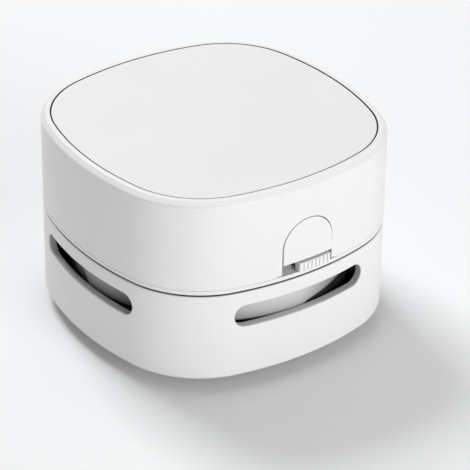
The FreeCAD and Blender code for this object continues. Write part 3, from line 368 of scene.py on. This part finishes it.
def plastic_group():
    """Moulded plastic: spark-eroded grain, faint flow shade and uneven gloss."""
    group, entry, leave = new_group(
        "moulded_plastic",
        [
            ("Colour", "Color", (0.8, 0.8, 0.8, 1)),
            ("Roughness", "Float", 0.35),
            ("Grain size", "Float", 0.25 * MM),
            ("Grain", "Float", 0.5),
            ("Flow", "Float", 0.02),
        ],
        [("Colour", "Color"), ("Roughness", "Float"), ("Height", "Float")],
    )
    place = place_in(group)
    scale = calc(group, "DIVIDE", 1.0, entry.outputs["Grain size"])
    grain = node(group, "TexNoise", {"Vector": place, "Scale": scale}, Detail=3.0, Roughness=0.6)
    flow = node(group, "TexNoise", {"Vector": place}, Scale=28.0, Detail=2.0, Distortion=0.8)
    smudge = node(group, "TexNoise", {"Vector": place}, Scale=70.0, Detail=4.0, Roughness=0.65)
    swing = calc(group, "SUBTRACT", flow.outputs[0], 0.5)
    shade = calc(group, "ADD", 1.0, calc(group, "MULTIPLY", swing, entry.outputs["Flow"]))
    colour = mix_colour(group, 1.0, entry.outputs["Colour"], shade, "MULTIPLY")
    wear = calc(group, "MULTIPLY", calc(group, "SUBTRACT", smudge.outputs[0], 0.5), 0.16)
    rough = calc(group, "ADD", entry.outputs["Roughness"], wear, clamp=True)
    height = calc(group, "MULTIPLY", grain.outputs[0], entry.outputs["Grain"])
    feed_all(group, leave.inputs, Colour=colour, Roughness=rough, Height=height)
    return group


def metal_group():
    """Worked metal: fine streaks along one direction, blotches of tarnish and uneven gloss."""
    group, entry, leave = new_group(
        "worked_metal",
        [
            ("Colour", "Color", (0.7, 0.7, 0.7, 1)),
            ("Tarnish colour", "Color", (0.4, 0.38, 0.35, 1)),
            ("Tarnish", "Float", 0.3),
            ("Roughness", "Float", 0.3),
            ("Streak scale", "Vector", (600, 600, 40)),
            ("Streak", "Float", 0.3),
        ],
        [("Colour", "Color"), ("Roughness", "Float"), ("Height", "Float")],
    )
    place = place_in(group)
    along = vector_calc(group, "MULTIPLY", place, entry.outputs["Streak scale"])
    streak = node(group, "TexNoise", {"Vector": along}, Scale=1.0, Detail=4.0, Roughness=0.7)
    blotch = node(group, "TexNoise", {"Vector": place}, Scale=220.0, Detail=5.0, Roughness=0.6)
    blotch = ramp(group, blotch.outputs[0], 0.48, 0.75)
    aged = calc(group, "MULTIPLY", blotch, entry.outputs["Tarnish"])
    colour = mix_colour(group, aged, entry.outputs["Colour"], entry.outputs["Tarnish colour"])
    swing = calc(group, "SUBTRACT", streak.outputs[0], 0.5)
    light = calc(group, "MULTIPLY", swing, entry.outputs["Streak"])
    colour = mix_colour(group, 1.0, colour, calc(group, "ADD", 1.0, light), "MULTIPLY")
    rough = calc(group, "ADD", entry.outputs["Roughness"], calc(group, "MULTIPLY", aged, 0.35))
    rough = calc(group, "ADD", rough, calc(group, "MULTIPLY", light, 0.4), clamp=True)
    height = calc(group, "MULTIPLY", streak.outputs[0], entry.outputs["Streak"])
    feed_all(group, leave.inputs, Colour=colour, Roughness=rough, Height=height)
    return group


def fibre_group():
    """A mat of crossed fibres: bright strands, with painted shade in the hollows between them."""
    group, entry, leave = new_group(
        "crossed_fibres",
        [
            ("Colour", "Color", (0.8, 0.8, 0.8, 1)),
            ("Hollow colour", "Color", (0.4, 0.4, 0.4, 1)),
            ("Strand size", "Float", 0.15 * MM),
        ],
        [("Colour", "Color"), ("Height", "Float")],
    )
    place = place_in(group)
    scale = calc(group, "DIVIDE", 1.0, entry.outputs["Strand size"])
    strands = []
    for stretch in ((1.0, 0.16, 1.0), (0.16, 1.0, 1.0)):
        along = vector_calc(group, "MULTIPLY", place, stretch)
        made = node(
            group, "TexNoise", {"Vector": along, "Scale": scale}, Detail=2.0, Distortion=1.4
        )
        strands.append(made.outputs[0])
    height = calc(group, "MAXIMUM", *strands)
    raised = ramp(group, height, 0.42, 0.62)
    colour = mix_colour(group, raised, entry.outputs["Hollow colour"], entry.outputs["Colour"])
    feed_all(group, leave.inputs, Colour=colour, Height=height)
    return group


SOFT_BOX = soft_box_group()
WALL_DEPTH = wall_depth_group()
PLASTIC = plastic_group()
METAL = metal_group()
FIBRES = fibre_group()


# Finishes


def new_material(name):
    material = bpy.data.materials.new(name)
    material.use_nodes = True
    tree = material.node_tree
    tree.nodes.clear()
    output = tree.nodes.new("ShaderNodeOutputMaterial")
    shader = tree.nodes.new("ShaderNodeBsdfPrincipled")
    tree.links.new(shader.outputs[0], output.inputs["Surface"])
    return material, tree, shader


def bump(tree, shader, height, distance):
    made = node(tree, "Bump", {"Height": height}, Strength=1.0, Distance=distance)
    tree.links.new(made.outputs[0], shader.inputs["Normal"])


def box_mask(tree, centre, half, softness):
    """Mask of a soft box, with its centre, half size and softness in millimetres."""
    centre, half = (tuple(v * MM for v in triple) for triple in (centre, half))
    box = use_group(tree, SOFT_BOX, Centre=centre, Half_size=half, Softness=softness * MM)
    return box["Mask"]


def inner_mask(tree, start, full, low, high):
    """1 where a surface lies deeper than the outer wall, between two heights, in millimetres."""
    wall = use_group(tree, WALL_DEPTH)
    deep = ramp(tree, wall["Depth"], start, full)
    above = calc(tree, "GREATER_THAN", wall["Height"], low)
    below = calc(tree, "LESS_THAN", wall["Height"], high)
    return calc(tree, "MULTIPLY", deep, calc(tree, "MULTIPLY", above, below))


def far_quarter(tree):
    """-x times y in square millimetres, kept from 0: it grows towards two opposite corners."""
    x, y, _ = parts_of(tree, place_in(tree))
    x, y = calc(tree, "DIVIDE", x, -MM), calc(tree, "DIVIDE", y, MM)
    return calc(tree, "MAXIMUM", calc(tree, "MULTIPLY", x, y), 0.0)


def flank_mask(tree):
    """1 on the two flanks, left and right of the switch side."""
    x, y, _ = parts_of(tree, place_in(tree))
    return calc(tree, "GREATER_THAN", calc(tree, "ABSOLUTE", x), calc(tree, "ABSOLUTE", y))


def quarter_shade(tree, soft=CREVICE_FADE):
    """1 low in the crevice behind the slots, up to an edge that rises towards two corners."""
    across = far_quarter(tree)
    end = calc(tree, "POWER", calc(tree, "DIVIDE", across, END_REACH), END_POWER)
    end = calc(tree, "MULTIPLY", end, END_RISE)
    front = calc(tree, "ADD", end, calc(tree, "MULTIPLY", across, FRONT_SLOPE))
    front = calc(tree, "ADD", front, ramp(tree, across, *STEP_REACH, 0.0, STEP_RISE))
    flank = calc(tree, "ADD", calc(tree, "MULTIPLY", across, FLANK_SLOPE), FLANK_RISE)
    beside = flank_mask(tree)
    flank = calc(tree, "MULTIPLY", flank, beside)
    front = calc(tree, "MULTIPLY", front, calc(tree, "SUBTRACT", 1.0, beside))
    rise = calc(tree, "ADD", flank, front)
    height = use_group(tree, WALL_DEPTH)["Height"]
    over = calc(tree, "SUBTRACT", calc(tree, "SUBTRACT", height, CREVICE_HEIGHT), rise)
    return ramp(tree, over, -soft, soft, 1.0, 0.0)


def foot_shade(tree):
    """The crevice's shade spread out over the cup's foot."""
    return quarter_shade(tree, FOOT_FADE)


def corner_shade(tree):
    return ramp(tree, far_quarter(tree), 0.0, CORNER_REACH)


def plastic(name, colour, roughness=0.35, grain=0.5, coat=0.0, tones=()):
    """Moulded plastic. Each tone is a mask maker and the colour painted there, as painted shade or
    highlight.
    """
    material, tree, shader = new_material(name)
    tint = (*colour, 1.0)
    for make_mask, tone in tones:
        tint = mix_colour(tree, make_mask(tree), tint, (*tone, 1.0))
    finish = use_group(
        tree, PLASTIC,
        Colour=tint, Roughness=roughness, Grain_size=0.25 * MM, Grain=grain, Flow=0.03,
    )
    feed_all(
        tree, shader.inputs,
        Base_Color=finish["Colour"], Roughness=finish["Roughness"], IOR=PLASTIC_IOR,
    )
    if coat:
        feed_all(tree, shader.inputs, Coat_Weight=coat, Coat_Roughness=0.12)
    bump(tree, shader, finish["Height"], GRAIN_DEPTH)
    return material


def metal(
    name, colour, roughness, streaks, streak=0.25, tarnish=0.3, tarnish_colour=(0.35, 0.33, 0.30)
):
    """Worked metal, with the tree, shader and group outputs for finishes built on it."""
    material, tree, shader = new_material(name)
    finish = use_group(
        tree, METAL, Colour=colour, Tarnish_colour=tarnish_colour, Tarnish=tarnish,
        Roughness=roughness, Streak_scale=streaks, Streak=streak,
    )
    feed_all(
        tree, shader.inputs,
        Metallic=1.0, Base_Color=finish["Colour"], Roughness=finish["Roughness"],
    )
    bump(tree, shader, finish["Height"], GRAIN_DEPTH)
    return material, tree, shader, finish


def dress(material, *names):
    """Gives CAD nodes their finish."""
    for name in names:
        mesh = nodes[name].data
        mesh.materials.clear()
        mesh.materials.append(material)


def dress_shells():
    """Satin white outer faces, with painted shade inside the gaps, slots and recesses and a painted
    highlight on the top edge.
    """
    shells = [
        ("shell_white", "lower_shell", WHITE, 0.38, LOWER_SHELL_TONES),
        ("cover_white", "upper_cover", WHITE, 0.38, COVER_TONES),
        ("deck_white", "chassis", WHITE, 0.4, DECK_TONES),
        ("panel_white", "top_panel", PANEL_WHITE, 0.45, PANEL_TONES),
        ("pad_white", "switch_pad", WHITE, 0.38, PAD_TONES),
        ("knob_white", "switch_knob", KNOB_WHITE, 0.4, KNOB_TONES),
    ]
    for name, piece, colour, roughness, rows in shells:
        tones = [(lambda tree, span=span: inner_mask(tree, *span), tone) for span, tone in rows]
        dress(plastic(name, colour, roughness=roughness, tones=tones), piece)


def dress_dust_unit():
    cup = plastic(
        "cup_grey", CUP_GREY, roughness=0.3, coat=0.2,
        tones=[
            # painted shade on the cup: darker at its foot, at two corners and on its flanks, and
            # black low in the crevices behind the slots
            (foot_shade, CUP_FOOT_PAINTED_SHADE),
            (corner_shade, CUP_PAINTED_SHADE),
            (flank_mask, CUP_PAINTED_SHADE),
            (quarter_shade, CREVICE_PAINTED_SHADE),
        ],
    )
    dress(cup, "dust_cup")
    plain = plastic("inner_white", (0.72, 0.725, 0.73), roughness=0.5, grain=0.8)
    dress(plain, "base_plate", "brush_carrier", "fan_shroud", "filter_frame")
    fan = plastic("fan_nylon", (0.74, 0.74, 0.71), roughness=0.42, grain=0.3)
    dress(fan, "impeller")
    steel, *_ = metal("screw_steel", (0.62, 0.62, 0.64), 0.32, (500, 500, 500), 0.3, 0.35)
    dress(steel, "base_screws", "shroud_screws", "clip_screws")


def rubber(name, colour):
    """Matt rubber with a dusty bloom."""
    material, tree, shader = new_material(name)
    place = place_in(tree)
    bloom = node(tree, "TexNoise", {"Vector": place}, Scale=260.0, Detail=6.0, Roughness=0.7)
    pits = node(tree, "TexNoise", {"Vector": place}, Scale=3500.0, Detail=2.0)
    pale = tuple(v + 0.10 for v in colour)
    feed_all(
        tree, shader.inputs,
        Base_Color=mix_colour(tree, ramp(tree, bloom.outputs[0], 0.45, 0.8), colour, pale),
        Roughness=ramp(tree, bloom.outputs[0], 0.3, 0.7, 0.6, 0.85),
        Specular_IOR_Level=0.35,
    )
    bump(tree, shader, pits.outputs[0], 0.02 * MM)
    return material


def wound(name, colour, pitch, metallic):
    """Wire or sheet in layers: rounded ridges of one pitch in millimetres, up the shaft, with painted
    shade in the grooves.
    """
    dull = tuple(v * 0.5 for v in colour)
    material, tree, shader, finish = metal(name, colour, 0.35, (300, 300, 300), 0.25, 0.25, dull)
    ridge = node(
        tree, "TexWave", {"Vector": place_in(tree)},
        bands_direction="Z", Scale=math.pi / (10 * pitch * MM),
    )
    # the grooves between the ridges are darkened: painted shade
    groove = ramp(tree, ridge.outputs["Fac"], 0.0, 0.6, 0.35, 1.0)
    shade = mix_colour(tree, 1.0, finish["Colour"], groove, "MULTIPLY")
    feed_all(tree, shader.inputs, Base_Color=shade, Metallic=metallic)
    bump(tree, shader, ridge.outputs["Fac"], 0.12 * pitch * MM)
    return material


def commutator_copper():
    """Copper bars round the shaft, with dark slits between them and a worn brush track."""
    bars = 3
    track_height = 47.9 * MM
    material, tree, shader, finish = metal(
        "commutator_copper", (0.78, 0.42, 0.22), 0.25, (60, 60, 900), 0.35, 0.3
    )
    x, y, z = parts_of(tree, place_in(tree))
    turn = calc(tree, "MULTIPLY", calc(tree, "ARCTAN2", y, x), bars / 2)
    slit = ramp(tree, calc(tree, "ABSOLUTE", calc(tree, "SINE", turn)), 0.05, 0.16)
    off_track = calc(tree, "ABSOLUTE", calc(tree, "SUBTRACT", z, track_height))
    track = ramp(tree, off_track, 0.4 * MM, 0.7 * MM, 0.45, 1.0)
    worn = calc(tree, "MULTIPLY", slit, track)
    shade = mix_colour(tree, 1.0, finish["Colour"], worn, "MULTIPLY")
    feed_all(tree, shader.inputs, Base_Color=shade)
    return material


def board_green():
    """Solder mask over copper tracks that run in zigzags, on a fine woven board."""
    pitch = 0.9 * MM
    zigzag = 2.4 * MM
    material, tree, shader = new_material("board_green")
    place = place_in(tree)
    x, _, z = parts_of(tree, place)
    rise = calc(tree, "MULTIPLY", calc(tree, "PINGPONG", x, zigzag), 0.6)
    lane = calc(tree, "PINGPONG", calc(tree, "ADD", z, rise), pitch)
    track = ramp(tree, lane, 0.30 * pitch, 0.42 * pitch)
    coat = mix_colour(tree, track, (0.10, 0.38, 0.17), (0.03, 0.19, 0.08))
    weave = node(
        tree, "TexWave", {"Vector": place}, Scale=900.0, Distortion=2.0, bands_direction="DIAGONAL"
    )
    weft = calc(tree, "MULTIPLY", weave.outputs["Fac"], 0.15)
    coat = mix_colour(tree, weft, coat, (0.20, 0.45, 0.2))
    feed_all(tree, shader.inputs, Base_Color=coat, Roughness=0.32, Coat_Weight=0.4)
    bump(tree, shader, calc(tree, "SUBTRACT", 1.0, track), 0.04 * MM)
    return material


def lead_sheath(name, colour):
    """Soft PVC with slight waves and handling marks."""
    material, tree, shader = new_material(name)
    mark = node(tree, "TexNoise", {"Vector": place_in(tree)}, Scale=500.0, Detail=4.0)
    rubbed = tuple(min(1, v * 1.5 + 0.03) for v in colour)
    feed_all(
        tree, shader.inputs,
        Base_Color=mix_colour(tree, ramp(tree, mark.outputs[0], 0.5, 0.8), colour, rubbed),
        Roughness=ramp(tree, mark.outputs[0], 0.3, 0.7, 0.28, 0.45),
        Coat_Weight=0.25,
    )
    bump(tree, shader, mark.outputs[0], 0.03 * MM)
    return material


def battery_sleeve(name, side):
    """A plain printed sleeve with a bare steel rim at each end and polarity marks.

    The plus end is at -Y for side -1 and at +Y for side 1. Lengths are in millimetres.
    """
    rim_length, foot_length, band_length, mark_edge = 2.6, 0.9, 14.0, 0.08
    plus_y, minus_y = side * 17.0, -side * 12.7
    low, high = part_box(name)
    middle_x = (low[0] + high[0]) / 2 / MM
    top = high[2] / MM
    flat_end, plus_end = sorted(side * end / MM for end in (low[1], high[1]))

    material, tree, shader = new_material(name + "_sleeve")
    place = place_in(tree)
    _, y, _ = parts_of(tree, place)
    along = calc(tree, "MULTIPLY", y, side / MM)
    rim = calc(tree, "GREATER_THAN", along, plus_end - rim_length)
    foot = calc(tree, "LESS_THAN", along, flat_end + foot_length)
    bare = calc(tree, "ADD", rim, foot, clamp=True)
    band = calc(tree, "GREATER_THAN", along, plus_end - band_length)
    noise = node(tree, "TexNoise", {"Vector": place}, Scale=160.0, Detail=4.0)
    mottle = ramp(tree, noise.outputs[0], 0.4, 0.7)
    shade = mix_colour(tree, mottle, (0.050, 0.055, 0.065), (0.065, 0.070, 0.082))
    shade = mix_colour(tree, band, shade, (0.60, 0.36, 0.09))
    for mark_y, half in (
        (plus_y, (1.7, 0.4, 1.2)), (plus_y, (0.4, 1.7, 1.2)), (minus_y, (1.7, 0.4, 1.2))
    ):
        mark = box_mask(tree, (middle_x, mark_y, top), half, mark_edge)
        shade = mix_colour(tree, mark, shade, (0.85, 0.85, 0.83))
    feed_all(
        tree, shader.inputs,
        Base_Color=mix_colour(tree, bare, shade, (0.70, 0.69, 0.66)),
        Metallic=bare,
        Roughness=ramp(tree, noise.outputs[0], 0.3, 0.7, 0.24, 0.38),
        Coat_Weight=0.3,
    )
    bump(tree, shader, noise.outputs[0], 0.03 * MM)
    return material


def dress_motor_unit():
    can, *_ = metal("can_steel", (0.66, 0.66, 0.68), 0.28, (700, 700, 30), 0.25, 0.2)
    dress(can, "motor_can", "motor_shaft")
    cap = plastic("cap_black", (0.035, 0.035, 0.038), roughness=0.45, grain=0.8)
    dress(cap, "motor_end_cap")
    nickel, *_ = metal("contact_nickel", (0.76, 0.74, 0.69), 0.24, (400, 60, 400), 0.2, 0.25)
    dress(
        nickel, "motor_terminals", "motor_clip", "contact_plus", "contact_minus", "contact_bridge",
        "contact_springs", "switch_case",
    )
    dress(rubber("magnet_dark", (0.05, 0.05, 0.055)), "motor_magnets")
    dress(rubber("seal_rubber", (0.035, 0.035, 0.037)), "motor_damper", "cup_seal")
    dress(wound("core_steel", (0.42, 0.42, 0.44), 0.5, 1.0), "motor_armature")
    dress(wound("winding_copper", (0.72, 0.33, 0.14), 0.28, 0.9), "armature_windings")
    dress(commutator_copper(), "commutator")
    dress(board_green(), "switch_board")
    dress(lead_sheath("lead_red", (0.50, 0.018, 0.015)), "lead_positive", "lead_switch")
    dress(lead_sheath("lead_black", (0.018, 0.018, 0.02)), "lead_negative")
    dress(battery_sleeve("battery_left", -1), "battery_left")
    dress(battery_sleeve("battery_right", 1), "battery_right")


dress_shells()
dress_dust_unit()
dress_motor_unit()


# Soft pieces


def bristle_nylon():
    """White nylon, slightly translucent and paler at its tips."""
    material, tree, shader = new_material("bristle_nylon")
    place = place_in(tree)
    _, _, z = parts_of(tree, place)
    noise = node(tree, "TexNoise", {"Vector": place}, Scale=900.0, Detail=2.0)
    tip = ramp(tree, z, 0.0, 1.6 * MM)
    shade = mix_colour(tree, tip, (0.88, 0.88, 0.87), (0.74, 0.745, 0.75))
    mottle = ramp(tree, noise.outputs[0], 0.4, 0.7)
    feed_all(
        tree, shader.inputs,
        Base_Color=mix_colour(tree, mottle, shade, (0.66, 0.66, 0.65)),
        Roughness=ramp(tree, noise.outputs[0], 0.3, 0.7, 0.25, 0.5),
        Subsurface_Weight=0.2, Subsurface_Scale=0.3 * MM, Subsurface_Radius=(1.0, 1.0, 1.0),
    )
    return material


def one_bristle():
    """A straight tapered bristle with its tip at z = 0, cut once across so that it can bend."""
    clear_selection()
    bpy.ops.mesh.primitive_cone_add(
        vertices=5, radius1=BRISTLE_TIP_RADIUS, radius2=BRISTLE_ROOT_RADIUS, depth=BRISTLE_LENGTH,
        location=(0, 0, BRISTLE_LENGTH / 2),
    )
    bristle = bpy.context.object
    apply_place(bristle)
    bpy.ops.object.mode_set(mode="EDIT")
    bpy.ops.mesh.select_all(action="SELECT")
    bpy.ops.mesh.subdivide(number_cuts=1)
    bpy.ops.object.mode_set(mode="OBJECT")
    return bristle


def tuft(bristle):
    """One tuft on the ring's circle, towards +X: its bristles splay and curl out at the tips."""
    shape = [v.co.copy() for v in bristle.data.vertices]
    spread = TUFT_TIP_RADIUS / TUFT_ROOT_RADIUS
    swing = random.uniform(0, math.pi)
    strands = []
    for i in range(BRISTLES_PER_TUFT):
        ring = math.sqrt((i + 0.5) / BRISTLES_PER_TUFT)
        angle = GOLDEN_ANGLE * i + swing
        root = Vector((math.cos(angle), math.sin(angle), 0))
        root = root * ring * TUFT_ROOT_RADIUS * TUFT_ROOT_FILL
        lean = Vector((random.uniform(-1, 1), random.uniform(-1, 1), 0)) * BRISTLE_LEAN * MM
        short = random.uniform(0, BRISTLE_SHORTER) if i else 0.0
        strand = copy_of(bristle, "strand")
        for vertex, co in zip(strand.data.vertices, shape):
            down = max(0.0, 1 - co.z / BRISTLE_LENGTH)
            shift = root.lerp(root * spread + lean, down ** TUFT_SPLAY_POWER)
            lifted = Vector((co.x, co.y, co.z + short * MM * down))
            vertex.co = Vector((TUFT_CIRCLE, 0, 0)) + shift + lifted
        strands.append(strand)
    return join(strands, "tuft")


def brush_ring():
    """Forty tufts of splayed nylon bristles, turned round the ring from five different ones."""
    bristle = one_bristle()
    kinds = [tuft(bristle) for _ in range(TUFT_KINDS)]
    tufts = []
    for t in range(TUFT_COUNT):
        twin = copy_of(kinds[t % TUFT_KINDS], "tuft_copy")
        twin.rotation_euler.z = 2 * math.pi * t / TUFT_COUNT
        apply_place(twin)
        tufts.append(twin)
    ring = join(tufts, "bristle_ring")
    for made in (bristle, *kinds):
        bpy.data.objects.remove(made)
    hand_in(ring, "dust_unit", bristle_nylon(), "brush_bristles")


def filter_felt():
    """White felt with crossed fibres and a little grey dust in it."""
    material, tree, shader = new_material("filter_felt")
    mat = use_group(
        tree, FIBRES,
        Colour=(0.83, 0.83, 0.81), Hollow_colour=(0.50, 0.50, 0.48), Strand_size=0.35 * MM,
    )
    dust = node(tree, "TexNoise", {"Vector": place_in(tree)}, Scale=90.0, Detail=5.0)
    dusty = ramp(tree, dust.outputs[0], 0.5, 0.8, 0.0, 0.4)
    shade = mix_colour(tree, dusty, mat["Colour"], (0.55, 0.53, 0.50))
    feed_all(tree, shader.inputs, Base_Color=shade, Roughness=0.95, Sheen_Weight=0.4)
    bump(tree, shader, mat["Height"], 0.15 * MM)
    return material


def felt_disc():
    """The felt filter: a lofty disc, pressed thin at its rim where the frame holds it."""
    low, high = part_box("filter_pad")
    radius = (high[0] - low[0]) / 2
    middle = (low[2] + high[2]) / 2
    depth = (high[2] - low[2]) * FELT_THICKNESS
    clear_selection()
    bpy.ops.mesh.primitive_cylinder_add(
        vertices=120, radius=radius, depth=depth, location=(0, 0, middle)
    )
    disc = bpy.context.object
    apply_place(disc)
    bpy.ops.object.mode_set(mode="EDIT")
    bpy.ops.mesh.select_mode(type="FACE")
    for _ in range(FELT_RINGS):
        bpy.ops.mesh.select_all(action="DESELECT")
        bpy.ops.object.mode_set(mode="OBJECT")
        for face in disc.data.polygons:
            face.select = len(face.vertices) > 4
        bpy.ops.object.mode_set(mode="EDIT")
        bpy.ops.mesh.inset(thickness=radius / (FELT_RINGS + 1), depth=0)
    bpy.ops.object.mode_set(mode="OBJECT")
    x_turn, y_turn = FELT_WAVE_TURN
    for vertex in disc.data.vertices:
        out = math.hypot(vertex.co.x, vertex.co.y) / radius
        pressed = max(0.0, (out - FELT_RIM_START) / (1.0 - FELT_RIM_START))
        loft = 1.0 - FELT_RIM_PRESS * pressed
        wave = FELT_WAVE * math.sin(vertex.co.x / MM * x_turn) * math.cos(vertex.co.y / MM * y_turn)
        vertex.co.z = middle + (vertex.co.z - middle) * (loft + wave * loft)
    modify(disc, "SUBSURF", levels=1, render_levels=1)
    disc.name = "felt_disc"
    bpy.ops.object.shade_smooth()
    hand_in(disc, "motor_unit", filter_felt(), "filter_pad")


def cell_foam():
    """Black open-cell foam, with painted shade deep black between its cell walls."""
    material, tree, shader = new_material("cell_foam")
    place = place_in(tree)
    cells = node(tree, "TexVoronoi", {"Vector": place}, Scale=1500.0, Randomness=1.0)
    fine = node(tree, "TexNoise", {"Vector": place}, Scale=4000.0, Detail=2.0)
    walls = ramp(tree, cells.outputs["Distance"], 0.2, 0.7)
    shade = mix_colour(tree, walls, (0.004, 0.004, 0.004), (0.035, 0.035, 0.037))
    feed_all(tree, shader.inputs, Base_Color=shade, Roughness=0.9, Specular_IOR_Level=0.25)
    height = calc(tree, "ADD", cells.outputs["Distance"], fine.outputs[0])
    bump(tree, shader, height, 0.35 * MM)
    return material


def foam_blocks():
    """Open-cell foam in the four corners, cut to the wall and the cup, with open pores. Its black
    stands in the corner cavities behind the slots as painted shade.
    """
    block = copy_of(nodes["exhaust_foam"], "foam_block")
    block.parent = None
    for key in list(block.keys()):
        del block[key]
    pick(block)
    bpy.ops.object.mode_set(mode="EDIT")
    bpy.ops.mesh.select_all(action="SELECT")
    bpy.ops.mesh.remove_doubles(threshold=0.01 * MM)
    bpy.ops.mesh.normals_make_consistent(inside=False)
    bpy.ops.object.mode_set(mode="OBJECT")
    modify(block, "REMESH", mode="VOXEL", voxel_size=FOAM_VOXEL, use_smooth_shade=True)
    modify(block, "SMOOTH", factor=0.6, iterations=4)
    pores = bpy.data.textures.new("pores", "VORONOI")
    pores.noise_scale = FOAM_PORE
    modify(
        block, "DISPLACE",
        texture=pores, texture_coords="LOCAL", strength=-FOAM_PORE_DEPTH, mid_level=0.0,
    )
    hand_in(block, "dust_unit", cell_foam(), "exhaust_foam")


brush_ring()
felt_disc()
foam_blocks()


# Studio


def add_floor():
    clear_selection()
    bpy.ops.mesh.primitive_plane_add(size=FLOOR_SIZE)
    floor = bpy.context.object
    floor.name = "floor"
    material, tree, shader = new_material("floor_paper")
    tone = node(tree, "TexNoise", {"Vector": place_in(tree)}, Scale=2.0, Detail=2.0)
    shade = mix_colour(tree, tone.outputs[0], (0.86, 0.875, 0.89), (0.89, 0.895, 0.90))
    feed_all(tree, shader.inputs, Base_Color=shade, Roughness=0.8, Specular_IOR_Level=0.2)
    floor.data.materials.append(material)


def add_light(name, place, size, power):
    """A square softbox aimed at the body."""
    data = bpy.data.lights.new(name, "AREA")
    data.shape = "SQUARE"
    data.size = size
    data.energy = power
    light = bpy.data.objects.new(name, data)
    bpy.context.scene.collection.objects.link(light)
    light.location = place
    light.rotation_euler = (LIGHT_TARGET - Vector(place)).to_track_quat("-Z", "Y").to_euler()


def add_camera():
    azimuth, elevation, roll = (math.radians(a) for a in (VIEW_AZIMUTH, VIEW_ELEVATION, VIEW_ROLL))
    level = math.cos(elevation)
    back = Vector((math.sin(azimuth) * level, -math.cos(azimuth) * level, math.sin(elevation)))
    right = Vector((math.cos(azimuth), math.sin(azimuth), 0))
    up = back.cross(right)
    data = bpy.data.cameras.new("camera")
    data.lens = LENS
    data.sensor_width = SENSOR
    camera = bpy.data.objects.new("camera", data)
    bpy.context.scene.collection.objects.link(camera)
    place = VIEW_TARGET + back * VIEW_DISTANCE
    aim = VIEW_TARGET + right * AIM_RIGHT + up * AIM_UP
    turn = (aim - place).to_track_quat("-Z", "Y") @ Quaternion((0, 0, 1), roll)
    camera.location = place
    camera.rotation_euler = turn.to_euler()
    bpy.context.scene.camera = camera


def add_world():
    world = bpy.data.worlds.new("studio")
    world.use_nodes = True
    back = world.node_tree.nodes["Background"]
    back.inputs["Color"].default_value = (1, 1, 1, 1)
    back.inputs["Strength"].default_value = WORLD_LIGHT
    bpy.context.scene.world = world


add_floor()
add_world()
for softbox in SOFTBOXES:
    add_light(*softbox)
add_camera()
bpy.context.scene.view_settings.view_transform = "Standard"
